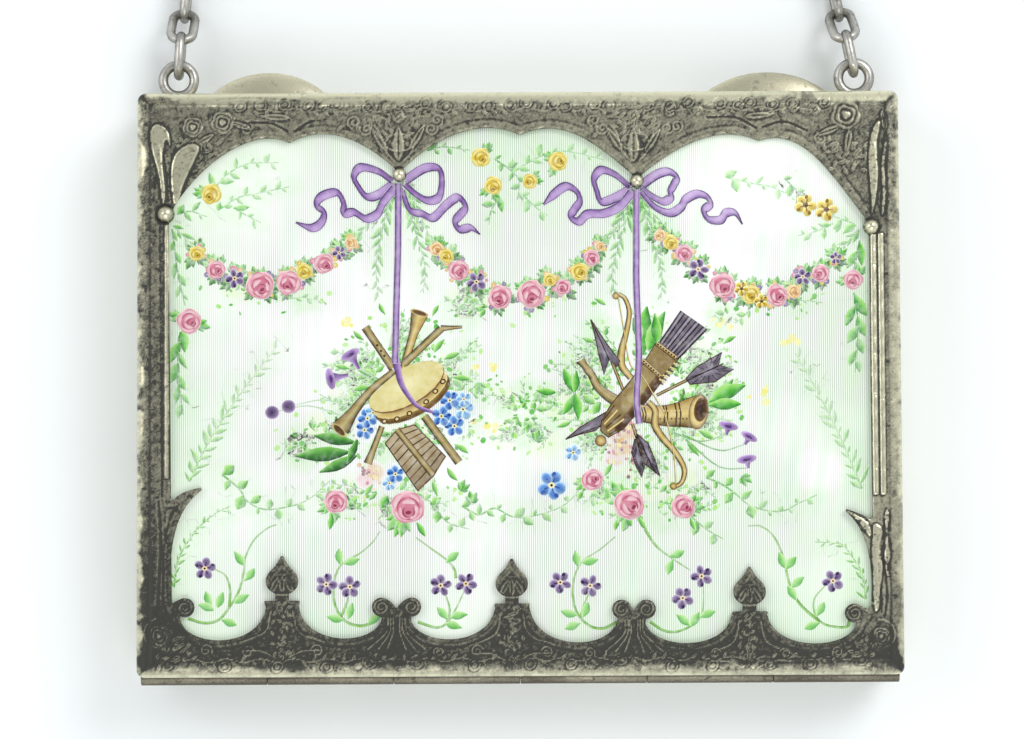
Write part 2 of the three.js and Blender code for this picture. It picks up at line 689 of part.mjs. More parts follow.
const backHalf = new THREE.Group();
backHalf.add(
  piece('back_shell', buildBackShell(), SILVER),
  piece('hinge_pin', buildHingePin(), SILVER),
  piece('catch_tongue', buildCatch(), SILVER),
  piece('thumb_piece_back', buildThumbPiece(THUMB_BACK), SILVER),
  piece('chain_ring_left', buildRing(RING_LEFT_X), CHAIN_SILVER),
  piece('chain_ring_right', buildRing(RING_RIGHT_X), CHAIN_SILVER),
  piece('chain', buildChain(), CHAIN_SILVER),
);

const lidHalf = new THREE.Group();
lidHalf.add(
  piece('lid_shell', buildLidShell(), SILVER),
  piece('border_frame', buildBorder(), DARK_SILVER),
  piece('enamel_plaque', buildPlaque(), ENAMEL),
  piece('thumb_piece_lid', buildThumbPiece(THUMB_LID), SILVER),
);

const purse = new THREE.Group();
purse.add(backHalf, lidHalf);

export default purse;
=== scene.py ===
"""Looks of the chain purse: a hard silver case, a painted enamel front, a chased border and a chain.

Values are in millimetres and meshes in metres. The purse lies on its back: +Z is the enamel side,
+Y the edge that carries the chain, +X the right-hand side, and the origin is the middle of the back.
"""
from __future__ import annotations

import logging
import math
from contextlib import contextmanager
from dataclasses import dataclass, field, replace
from enum import Enum
from typing import Callable, Iterator, Optional, Sequence

import bmesh
import bpy
import numpy as np
from mathutils import Matrix, Vector
from mathutils.geometry import delaunay_2d_cdt


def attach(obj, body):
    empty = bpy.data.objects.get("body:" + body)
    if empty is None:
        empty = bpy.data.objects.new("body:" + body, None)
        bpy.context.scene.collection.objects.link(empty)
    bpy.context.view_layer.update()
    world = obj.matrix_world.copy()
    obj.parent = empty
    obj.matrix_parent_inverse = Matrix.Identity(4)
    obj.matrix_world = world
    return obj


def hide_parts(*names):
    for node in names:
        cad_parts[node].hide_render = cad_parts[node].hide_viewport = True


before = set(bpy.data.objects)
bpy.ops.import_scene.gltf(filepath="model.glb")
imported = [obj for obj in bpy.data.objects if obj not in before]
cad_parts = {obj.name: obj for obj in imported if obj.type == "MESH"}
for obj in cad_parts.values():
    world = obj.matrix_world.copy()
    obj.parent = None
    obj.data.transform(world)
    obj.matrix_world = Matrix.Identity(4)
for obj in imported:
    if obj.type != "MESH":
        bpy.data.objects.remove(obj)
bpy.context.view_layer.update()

LOG = logging.getLogger("chain_purse")
MM = 0.001
MERGE_REACH = 0.002
SHARP_EDGE = math.radians(40.0)

Pair = tuple[float, float]
Triple = tuple[float, float, float]
Quad = tuple[float, float, float, float]
Piece = bpy.types.Object
Material = bpy.types.Material
Socket = bpy.types.NodeSocket
EdgeTest = Callable[[Vector, Vector], bool]
Chance = np.random.Generator


# Curves and outlines

def bezier(start: Pair, first: Pair, second: Pair, end: Pair, steps: int) -> np.ndarray:
    """Samples a cubic curve.

    Args:
        start: First point.
        first: Handle of the first point.
        second: Handle of the last point.
        end: Last point.
        steps: Number of steps.

    Returns:
        The points, one more than the steps.
    """
    t = np.linspace(0.0, 1.0, steps + 1)[:, None]
    u = 1.0 - t
    a, b, c, d = (np.asarray(p, float) for p in (start, first, second, end))
    return u ** 3 * a + 3 * u * u * t * b + 3 * u * t * t * c + t ** 3 * d


def quadratic(start: Pair, bend: Pair, end: Pair, steps: int) -> np.ndarray:
    """Samples a quadratic curve.

    Args:
        start: First point.
        bend: Handle.
        end: Last point.
        steps: Number of steps.

    Returns:
        The points, one more than the steps.
    """
    t = np.linspace(0.0, 1.0, steps + 1)[:, None]
    u = 1.0 - t
    a, b, c = (np.asarray(p, float) for p in (start, bend, end))
    return u * u * a + 2 * u * t * b + t * t * c


def flowing(points: Sequence[Pair], steps: int = 6) -> np.ndarray:
    """Draws a smooth line through points.

    Args:
        points: Points that the line passes.
        steps: Steps between two of them.

    Returns:
        The points of the line.
    """
    knots = np.asarray(points, float)
    padded = np.vstack([2 * knots[0] - knots[1], knots, 2 * knots[-1] - knots[-2]])
    t = np.linspace(0.0, 1.0, steps, endpoint=False)[:, None]
    runs = []
    for a, b, c, d in zip(padded, padded[1:], padded[2:], padded[3:]):
        slope = (c - a) * t + (2 * a - 5 * b + 4 * c - d) * t ** 2 + (3 * b - a - 3 * c + d) * t ** 3
        runs.append(b + 0.5 * slope)
    return np.vstack(runs + [knots[-1:]])


def evenly(path: np.ndarray, count: int) -> np.ndarray:
    """Spreads points evenly along a line.

    Args:
        path: Points of the line, flat or in space.
        count: Number of points wanted.

    Returns:
        The new points.
    """
    steps = np.linalg.norm(np.diff(path, axis=0), axis=1)
    along = np.concatenate([[0.0], np.cumsum(steps)])
    wanted = np.linspace(0.0, along[-1], count)
    return np.stack([np.interp(wanted, along, path[:, k]) for k in range(path.shape[1])], axis=1)


def path_length(path: np.ndarray) -> float:
    """Measures a line along its points."""
    return float(np.linalg.norm(np.diff(path, axis=0), axis=1).sum())


def ellipse(x: float, y: float, rx: float, ry: float, turn: float = 0.0, count: int = 12) -> np.ndarray:
    """Outlines a turned ellipse.

    Args:
        x: Middle.
        y: Middle.
        rx: Half length along its own X.
        ry: Half length along its own Y.
        turn: Turn in degrees.
        count: Number of points.

    Returns:
        The outline, anticlockwise.
    """
    angle = np.linspace(0.0, 2 * math.pi, count, endpoint=False)
    u, v = rx * np.cos(angle), ry * np.sin(angle)
    c, s = math.cos(math.radians(turn)), math.sin(math.radians(turn))
    return np.stack([x + u * c - v * s, y + u * s + v * c], axis=1)


def heading(degrees: float) -> np.ndarray:
    """Gives the flat direction of an angle from +X."""
    return np.array([math.cos(math.radians(degrees)), math.sin(math.radians(degrees))])


def smoothstep(value: np.ndarray, low: float, high: float) -> np.ndarray:
    """Rises softly from 0 at low to 1 at high."""
    t = np.clip((value - low) / (high - low), 0.0, 1.0)
    return t * t * (3.0 - 2.0 * t)


def outline_distance(px: np.ndarray, py: np.ndarray, outline: np.ndarray) -> np.ndarray:
    """Measures how far points are from a closed outline.

    Args:
        px: X of the points.
        py: Y of the points.
        outline: Corners of the outline.

    Returns:
        Distances, negative inside.
    """
    best = np.full(px.shape, np.inf)
    inside = np.zeros(px.shape, bool)
    ax, ay = outline[-1]
    for bx, by in outline:
        ex, ey = bx - ax, by - ay
        square = ex * ex + ey * ey
        if square > 1e-12:
            wx, wy = px - ax, py - ay
            t = np.clip((wx * ex + wy * ey) / square, 0.0, 1.0)
            best = np.minimum(best, (wx - ex * t) ** 2 + (wy - ey * t) ** 2)
            if ay != by:
                inside ^= ((ay > py) != (by > py)) & (px < ax + ex * (py - ay) / ey)
        ax, ay = bx, by
    return np.where(inside, -1.0, 1.0) * np.sqrt(best)


def line_distance(px: np.ndarray, py: np.ndarray, line: np.ndarray) -> np.ndarray:
    """Measures how far points are from an open line.

    Args:
        px: X of the points.
        py: Y of the points.
        line: Points of the line.

    Returns:
        Distances.
    """
    best = np.full(px.shape, np.inf)
    for (ax, ay), (bx, by) in zip(line, line[1:]):
        ex, ey = bx - ax, by - ay
        square = max(ex * ex + ey * ey, 1e-12)
        t = np.clip(((px - ax) * ex + (py - ay) * ey) / square, 0.0, 1.0)
        best = np.minimum(best, (px - ax - ex * t) ** 2 + (py - ay - ey * t) ** 2)
    return np.sqrt(best)


def linear(tint: Sequence[float]) -> np.ndarray:
    """Turns a screen colour of 0 to 255 into linear light."""
    value = np.asarray(tint, float) / 255.0
    return np.where(value <= 0.04045, value / 12.92, ((value + 0.055) / 1.055) ** 2.4)


# Work by hand in Blender

def select_only(piece: Piece) -> None:
    """Makes a piece the only one that an operator acts on."""
    bpy.ops.object.select_all(action="DESELECT")
    piece.select_set(True)
    bpy.context.view_layer.objects.active = piece


def named(name: str) -> Piece:
    """Names the primitive that was just added and puts its place into its mesh."""
    piece = bpy.context.active_object
    piece.name = name
    piece.data.name = name
    select_only(piece)
    bpy.ops.object.transform_apply(location=True, rotation=True, scale=True)
    return piece


def add_block(name: str, low: Triple, high: Triple) -> Piece:
    """Adds a block between two corners.

    Args:
        name: Name of the piece.
        low: Lowest corner.
        high: Highest corner.

    Returns:
        The block.
    """
    bpy.ops.object.select_all(action="DESELECT")
    middle = [(a + b) / 2 * MM for a, b in zip(low, high)]
    size = [(b - a) * MM for a, b in zip(low, high)]
    bpy.ops.mesh.primitive_cube_add(size=1.0, location=middle, scale=size)
    return named(name)


def add_rod(name: str, radius: float, start: Triple, end: Triple, sides: int = 32) -> Piece:
    """Adds a round rod between two points.

    Args:
        name: Name of the piece.
        radius: Radius.
        start: Middle of one end.
        end: Middle of the other end.
        sides: Number of sides.

    Returns:
        The rod.
    """
    bpy.ops.object.select_all(action="DESELECT")
    a, b = Vector(start) * MM, Vector(end) * MM
    turn = (b - a).to_track_quat("Z", "Y").to_euler()
    bpy.ops.mesh.primitive_cylinder_add(
        vertices=sides, radius=radius * MM, depth=(b - a).length, location=(a + b) / 2, rotation=turn,
    )
    return named(name)


def bevel_where(piece: Piece, chosen: EdgeTest, width: float, segments: int) -> None:
    """Rounds the edges that a test picks.

    Args:
        piece: Piece to work on.
        chosen: Takes an edge's two ends in millimetres and says if the edge is rounded.
        width: Width of the rounding.
        segments: Number of segments.
    """
    select_only(piece)
    bpy.ops.object.mode_set(mode="EDIT")
    bpy.ops.mesh.select_mode(type="EDGE")
    bpy.ops.mesh.select_all(action="DESELECT")
    mesh = bmesh.from_edit_mesh(piece.data)
    for edge in mesh.edges:
        a, b = (vert.co / MM for vert in edge.verts)
        edge.select = chosen(a, b)
    bmesh.update_edit_mesh(piece.data)
    bpy.ops.mesh.bevel(offset=width * MM, segments=segments, affect="EDGES", clamp_overlap=True)
    bpy.ops.object.mode_set(mode="OBJECT")


def apply_modifier(piece: Piece, kind: str, **settings: object) -> None:
    """Adds a modifier and applies it.

    Args:
        piece: Piece to work on.
        kind: Blender's name of the modifier.
        settings: Values set on it.
    """
    select_only(piece)
    modifier = piece.modifiers.new(kind, kind)
    for key, value in settings.items():
        setattr(modifier, key, value)
    bpy.ops.object.modifier_apply(modifier=modifier.name)


def carve(piece: Piece, tool: Piece, operation: str = "DIFFERENCE") -> None:
    """Cuts, joins or keeps the common part with another piece, which is used up."""
    apply_modifier(piece, "BOOLEAN", operation=operation, solver="EXACT", object=tool)
    bpy.data.objects.remove(tool, do_unlink=True)


def smooth(piece: Piece, degrees: float = 35.0) -> None:
    """Shades a piece smoothly where its faces meet at less than an angle."""
    select_only(piece)
    bpy.ops.object.shade_smooth_by_angle(angle=math.radians(degrees))


def merge_close(piece: Piece, reach: float) -> None:
    """Merges points that lie together and takes out faces without area."""
    select_only(piece)
    bpy.ops.object.mode_set(mode="EDIT")
    bpy.ops.mesh.select_all(action="SELECT")
    bpy.ops.mesh.remove_doubles(threshold=reach * MM)
    bpy.ops.mesh.dissolve_degenerate(threshold=reach * MM)
    bpy.ops.object.mode_set(mode="OBJECT")


def soften_edges(piece: Piece, width: float) -> None:
    """Breaks the sharp edges of a piece and shades it."""
    apply_modifier(
        piece, "BEVEL", width=width * MM, segments=2, limit_method="ANGLE", angle_limit=SHARP_EDGE,
    )
    merge_close(piece, MERGE_REACH)
    smooth(piece)


def from_arrays(name: str, points: np.ndarray, faces: Sequence[Sequence[int]]) -> Piece:
    """Makes a piece from points in millimetres.

    Args:
        name: Name of the piece.
        points: Points, one row each.
        faces: Corner numbers of each face.

    Returns:
        The piece.
    """
    mesh = bpy.data.meshes.new(name)
    mesh.from_pydata((np.asarray(points) * MM).tolist(), [], faces)
    mesh.update()
    piece = bpy.data.objects.new(name, mesh)
    bpy.context.scene.collection.objects.link(piece)
    return piece


def mark_points(piece: Piece, key: str, values: np.ndarray) -> None:
    """Writes one value for each point of a piece under a name that finishes read."""
    mark = piece.data.attributes.new(key, "FLOAT", "POINT")
    mark.data.foreach_set("value", np.asarray(values, np.float32))


def dress(piece: Piece, material: Material, body: str, slot: str, *nodes: str) -> None:
    """Gives a piece its finish and its place in the purse.

    Args:
        piece: Piece to dress.
        material: Its finish.
        body: Body that it moves with.
        slot: Material slot of the record; not used.
        nodes: Nodes that it stands for.
    """
    piece.data.materials.clear()
    piece.data.materials.append(material)
    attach(piece, body)
    if nodes:
        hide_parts(*nodes)
    LOG.info("%s: %d faces on %s", piece.name, len(piece.data.polygons), body)


class Body(str, Enum):
    """The two halves that move."""

    BACK = "case_back"
    LID = "case_lid"


class Slot(str, Enum):
    """Material slots of the record."""

    CASE = "case_silver"
    BORDER = "border_silver"
    CHAIN = "chain_silver"
    ENAMEL = "enamel"


# Finishes

class NodeDesk:
    """Places and joins shader nodes in one tree."""

    def __init__(self, tree: bpy.types.NodeTree) -> None:
        """Keeps the tree."""
        self.tree = tree

    def add(self, kind: str, inputs: Optional[dict] = None, **settings: object) -> bpy.types.Node:
        """Adds a node.

        Args:
            kind: Blender's name of the node.
            inputs: Values or sockets for its inputs, by name or number.
            settings: Values set on the node itself.

        Returns:
            The node.
        """
        node = self.tree.nodes.new(kind)
        for key, value in settings.items():
            setattr(node, key, value)
        for key, value in (inputs or {}).items():
            if isinstance(value, Socket):
                self.tree.links.new(value, node.inputs[key])
            else:
                node.inputs[key].default_value = value
        return node

    def math(self, operation: str, a: object, b: object = 0.0, clamp: bool = False) -> Socket:
        """Adds a sum or another operation on two values and gives its result."""
        node = self.add("ShaderNodeMath", {0: a, 1: b}, operation=operation, use_clamp=clamp)
        return node.outputs[0]

    def mix(self, share: object, a: object, b: object) -> Socket:
        """Mixes two colours and gives the result."""
        node = self.add("ShaderNodeMix", {0: share, 6: a, 7: b}, data_type="RGBA")
        return node.outputs[2]

    def noise(self, place: Socket, scale: object, detail: float) -> Socket:
        """Adds clouded noise and gives its value."""
        node = self.add("ShaderNodeTexNoise", {"Vector": place, "Scale": scale, "Detail": detail})
        return node.outputs["Fac"]

    def span(self, value: object, low: float, high: float, start: float, end: float) -> Socket:
        """Carries a value from one range to another, held at its ends."""
        node = self.add("ShaderNodeMapRange", {0: value, 1: low, 2: high, 3: start, 4: end})
        return node.outputs[0]


def new_group(name: str, inputs: dict[str, object], outputs: dict[str, str]) -> tuple[NodeDesk, dict, dict]:
    """Starts a shader node group.

    Args:
        name: Name of the group.
        inputs: Default of each input, a number or a colour of four values.
        outputs: Socket kind of each output.

    Returns:
        The desk to work at, the sockets that come in, and the sockets that go out.
    """
    group = bpy.data.node_groups.new(name, "ShaderNodeTree")
    for key, value in inputs.items():
        kind = "NodeSocketFloat" if isinstance(value, float) else "NodeSocketColor"
        group.interface.new_socket(key, in_out="INPUT", socket_type=kind).default_value = value
    for key, kind in outputs.items():
        group.interface.new_socket(key, in_out="OUTPUT", socket_type=kind)
    desk = NodeDesk(group)
    coming = desk.add("NodeGroupInput").outputs
    going = desk.add("NodeGroupOutput").inputs
    return desk, coming, going


def new_material(name: str) -> tuple[Material, NodeDesk, bpy.types.Node]:
    """Starts a material and gives it, its desk and its shader."""
    material = bpy.data.materials.new(name)
    material.use_nodes = True
    material.node_tree.nodes.clear()
    desk = NodeDesk(material.node_tree)
    shader = desk.add("ShaderNodeBsdfPrincipled")
    desk.add("ShaderNodeOutputMaterial", {"Surface": shader.outputs[0]})
    return material, desk, shader


class Patina:
    """Shared tarnish of old silver: dark in hollows and clouds, bright where it is rubbed, with painted
    shade or a painted reflection where a piece's mark holds them.
    """

    CLOUD_DETAIL = 5.0
    GRAIN_SCALE = 4200.0
    GRAIN_DETAIL = 3.0
    GRAIN_SHARE = 0.42
    GRAIN_ROUGHNESS = 0.1
    GRAIN_HEIGHT = 0.5
    PIT_SCALE = 1150.0
    PIT_DETAIL = 2.0
    PIT_RANGE = (0.6, 0.72)
    PIT_SHARE = 0.3
    PIT_DEPTH = 0.8
    ROUGHNESS = (0.24, 0.46)

    def __init__(self) -> None:
        """Builds the group once."""
        desk, coming, going = new_group(
            "silver_patina",
            {
                "Bright": (0.7, 0.66, 0.55, 1.0), "Dark": (0.1, 0.09, 0.08, 1.0), "Tarnish": 0.3,
                "Wear": 0.0, "TarnishAndPaintedShade": 0.0, "Cloud Scale": 160.0, "Cloud Share": 0.8,
            },
            {"Color": "NodeSocketColor", "Roughness": "NodeSocketFloat", "Height": "NodeSocketFloat"},
        )
        self.group = desk.tree
        place = desk.add("ShaderNodeTexCoord").outputs["Object"]
        cloud = desk.noise(place, coming["Cloud Scale"], self.CLOUD_DETAIL)
        grain = desk.noise(place, self.GRAIN_SCALE, self.GRAIN_DETAIL)
        pits = desk.span(desk.noise(place, self.PIT_SCALE, self.PIT_DETAIL), *self.PIT_RANGE, 0.0, 1.0)
        clouded = desk.math("MULTIPLY", desk.math("SUBTRACT", cloud, 0.5), coming["Cloud Share"])
        grained = desk.math("MULTIPLY", desk.math("SUBTRACT", grain, 0.5), self.GRAIN_SHARE)
        # The mark adds tarnish, painted shade on the knuckles and a painted reflection on the border's
        # right-hand column.
        dark = desk.math("ADD", desk.math("ADD", coming["Tarnish"], clouded), coming["TarnishAndPaintedShade"])
        dark = desk.math("SUBTRACT", dark, coming["Wear"])
        dark = desk.math("ADD", dark, desk.math("MULTIPLY", pits, self.PIT_SHARE))
        dark = desk.math("ADD", dark, grained, True)
        rough = desk.span(dark, 0.0, 1.0, *self.ROUGHNESS)
        rough = desk.math("ADD", rough, desk.math("MULTIPLY", grain, self.GRAIN_ROUGHNESS))
        height = desk.math("MULTIPLY", grain, self.GRAIN_HEIGHT)
        height = desk.math("SUBTRACT", height, desk.math("MULTIPLY", pits, self.PIT_DEPTH))
        links = desk.tree.links
        links.new(desk.mix(dark, coming["Bright"], coming["Dark"]), going["Color"])
        links.new(rough, going["Roughness"])
        links.new(height, going["Height"])


@dataclass(frozen=True)
class SilverFinish:
    """A silver finish with its own share of tarnish."""

    name: str
    bright: Triple
    dark: Triple
    tarnish: float
    cloud_scale: float
    cloud_share: float
    bump: float
    # Share of painted shade on the sides of round wire that turn away from the view.
    painted_rim_shade: float = 0.0
    bump_depth: float = 0.05
    metallic: float = 0.95

    def material(self, patina: Patina) -> Material:
        """Makes the material.

        Args:
            patina: The shared tarnish.

        Returns:
            The material.
        """
        material, desk, shader = new_material(self.name)
        group = desk.add("ShaderNodeGroup", node_tree=patina.group)
        for key, value in (
            ("Bright", (*self.bright, 1.0)), ("Dark", (*self.dark, 1.0)), ("Tarnish", self.tarnish),
            ("Cloud Scale", self.cloud_scale), ("Cloud Share", self.cloud_share),
        ):
            group.inputs[key].default_value = value
        links = desk.tree.links
        for key in ("Wear", "TarnishAndPaintedShade"):
            mark = desk.add("ShaderNodeAttribute", attribute_name=key)
            links.new(mark.outputs["Fac"], group.inputs[key])
        bump = desk.add("ShaderNodeBump", {"Height": group.outputs["Height"]})
        bump.inputs["Strength"].default_value = self.bump
        bump.inputs["Distance"].default_value = self.bump_depth * MM
        links.new(self.paint_rim_shade(desk, group.outputs["Color"]), shader.inputs["Base Color"])
        links.new(group.outputs["Roughness"], shader.inputs["Roughness"])
        links.new(bump.outputs["Normal"], shader.inputs["Normal"])
        shader.inputs["Metallic"].default_value = self.metallic
        return material

    def paint_rim_shade(self, desk: NodeDesk, color: Socket) -> Socket:
        """Paints shade on round wire where its side turns away from the view.

        Args:
            desk: The material's nodes.
            color: Colour of the silver.

        Returns:
            The colour with painted shade on its rims, or the colour itself where the finish has none.
        """
        if not self.painted_rim_shade:
            return color
        # Painted shade: darker where the surface turns away from the view.
        facing = desk.add("ShaderNodeLayerWeight")
        facing.inputs["Blend"].default_value = self.painted_rim_shade
        return desk.mix(facing.outputs["Facing"], color, (*self.dark, 1.0))


CASE_FINISH = SilverFinish(
    "case_silver", bright=(0.77, 0.74, 0.54), dark=(0.13, 0.115, 0.09),
    tarnish=0.22, cloud_scale=140.0, cloud_share=0.85, bump=0.25,
)
# The chain's wire has painted shade on its sides that turn away from the view.
CHAIN_FINISH = SilverFinish(
    "chain_silver", bright=(0.8, 0.785, 0.72), dark=(0.06, 0.058, 0.054),
    tarnish=0.3, cloud_scale=420.0, cloud_share=1.3, bump=0.3, painted_rim_shade=0.42,
)
BORDER_FINISH = SilverFinish(
    "border_silver", bright=(0.75, 0.73, 0.53), dark=(0.068, 0.068, 0.06),
    tarnish=0.7, cloud_scale=200.0, cloud_share=0.25, bump=0.35,
)


@dataclass(frozen=True)
class EnamelFinish:
    """White enamel over engine-turned lines, tinted green towards its edges."""

    line_pitch: float = 0.237
    line_patch_scale: float = 62.0
    line_tint_scale: float = 95.0
    half_width: float = 39.5
    half_height: float = 29.5
    side_power: float = 7.0
    end_power: float = 5.0
    edge_green: float = 0.6
    cloud_scale: float = 48.0
    white: Quad = (0.985, 1.0, 0.982, 1.0)
    green: Quad = (0.8, 0.97, 0.74, 1.0)
    green_line: Quad = (0.48, 0.64, 0.48, 1.0)
    grey_line: Quad = (0.56, 0.55, 0.56, 1.0)
    stroke_scale: float = 1300.0
    gap_scale: float = 1500.0
    thin_paint: Quad = (0.97, 0.98, 0.93, 1.0)
    full_cover: float = 0.93
    roughness: float = 0.07
    coat_weight: float = 0.5
    coat_roughness: float = 0.04

    @staticmethod
    def edge_share(desk: NodeDesk, along: Socket, half: float, power: float) -> Socket:
        """Rises from 0 in the middle of the plate to 1 at its edge, late where the power is high."""
        share = desk.math("ABSOLUTE", desk.math("DIVIDE", along, half * MM))
        return desk.math("POWER", share, power)

    def ground(self) -> bpy.types.NodeTree:
        """Builds the shared colour of the bare enamel."""
        desk, _, going = new_group("enamel_ground", {}, {"Color": "NodeSocketColor"})
        place = desk.add("ShaderNodeTexCoord").outputs["Object"]
        axes = desk.add("ShaderNodeSeparateXYZ", {0: place}).outputs
        across = self.edge_share(desk, axes[0], self.half_width, self.side_power)
        up = self.edge_share(desk, axes[1], self.half_height, self.end_power)
        edge = desk.math("MULTIPLY", desk.math("ADD", across, up), self.edge_green)
        cloud = desk.span(desk.noise(place, self.cloud_scale, 3.0), 0.42, 0.72, 0.0, 0.5)
        white = desk.mix(desk.math("ADD", edge, cloud, True), self.white, self.green)
        turns = 2.0 * math.pi / (self.line_pitch * MM)
        wave = desk.math("SINE", desk.math("MULTIPLY", axes[0], turns))
        line = desk.span(wave, -0.35, 0.35, 0.0, 1.0)
        patchy = desk.span(desk.noise(place, self.line_patch_scale, 2.0), 0.36, 0.6, 0.15, 0.85)
        grey = desk.span(desk.noise(place, self.line_tint_scale, 1.0), 0.4, 0.6, 0.0, 1.0)
        shade = desk.mix(grey, self.green_line, self.grey_line)
        lined = desk.mix(desk.math("MULTIPLY", line, patchy), white, shade)
        desk.tree.links.new(lined, going["Color"])
        return desk.tree

    def paint_over(self, desk: NodeDesk, ground: Socket) -> Socket:
        """Lays a piece's own colours over the bare enamel, as uneven as a brush leaves them.

        Args:
            desk: The material's nodes.
            ground: Colour of the bare enamel.

        Returns:
            The colour of the painted enamel.
        """
        paint = desk.add("ShaderNodeAttribute", attribute_name="Paint").outputs
        place = desk.add("ShaderNodeTexCoord").outputs["Object"]
        strokes = desk.noise(place, self.stroke_scale, 3.0)
        pale = desk.mix(desk.span(strokes, 0.52, 0.75, 0.0, 0.16), paint["Color"], self.thin_paint)
        gamma = desk.span(strokes, 0.26, 0.5, 1.25, 1.0)
        deep = desk.add("ShaderNodeGamma", {"Color": pale, "Gamma": gamma}).outputs[0]
        broken = desk.span(desk.noise(place, self.gap_scale, 2.0), 0.34, 0.6, 0.66, 1.08)
        full = desk.span(paint["Alpha"], self.full_cover, 1.0, 0.0, 1.0)
        cover = desk.math("MULTIPLY", broken, desk.math("SUBTRACT", 1.0, full))
        cover = desk.math("MULTIPLY", paint["Alpha"], desk.math("ADD", cover, full), True)
        return desk.mix(cover, ground, deep)

    def material(self, name: str, ground: bpy.types.NodeTree, painted: bool) -> Material:
        """Makes the bare enamel or the paint that lies in it.

        Args:
            name: Name of the material.
            ground: The shared colour.
            painted: True for paint, whose colour comes from the piece's own points.

        Returns:
            The material.
        """
        material, desk, shader = new_material(name)
        colour = desk.add("ShaderNodeGroup", node_tree=ground).outputs["Color"]
        if painted:
            colour = self.paint_over(desk, colour)
        desk.tree.links.new(colour, shader.inputs["Base Color"])
        shader.inputs["Roughness"].default_value = self.roughness
        shader.inputs["Coat Weight"].default_value = self.coat_weight
        shader.inputs["Coat Roughness"].default_value = self.coat_roughness
        return material


# The case

@dataclass(frozen=True)
class CaseSizes:
    """Sizes that the pieces share, as in the part's source."""

    side_x: float = 42.3
    top_y: float = 32.4
    corner: float = 0.9
    wall: float = 1.0
    hinge_wall: float = 1.75
    back_depth: float = 5.6
    back_sheet: float = 0.9
    back_round: float = 1.2
    gap: float = 0.1
    lid_z: float = 5.7
    lid_top_z: float = 10.5
    lid_sheet: float = 0.6
    border_z: float = 10.6
    border_top_z: float = 12.1
    plate_z: float = 11.4
    pocket_x: float = 40.1
    pocket_y: float = 30.3
    hinge_y: float = -32.4
    hinge_z: float = 5.65


SIZES = CaseSizes()


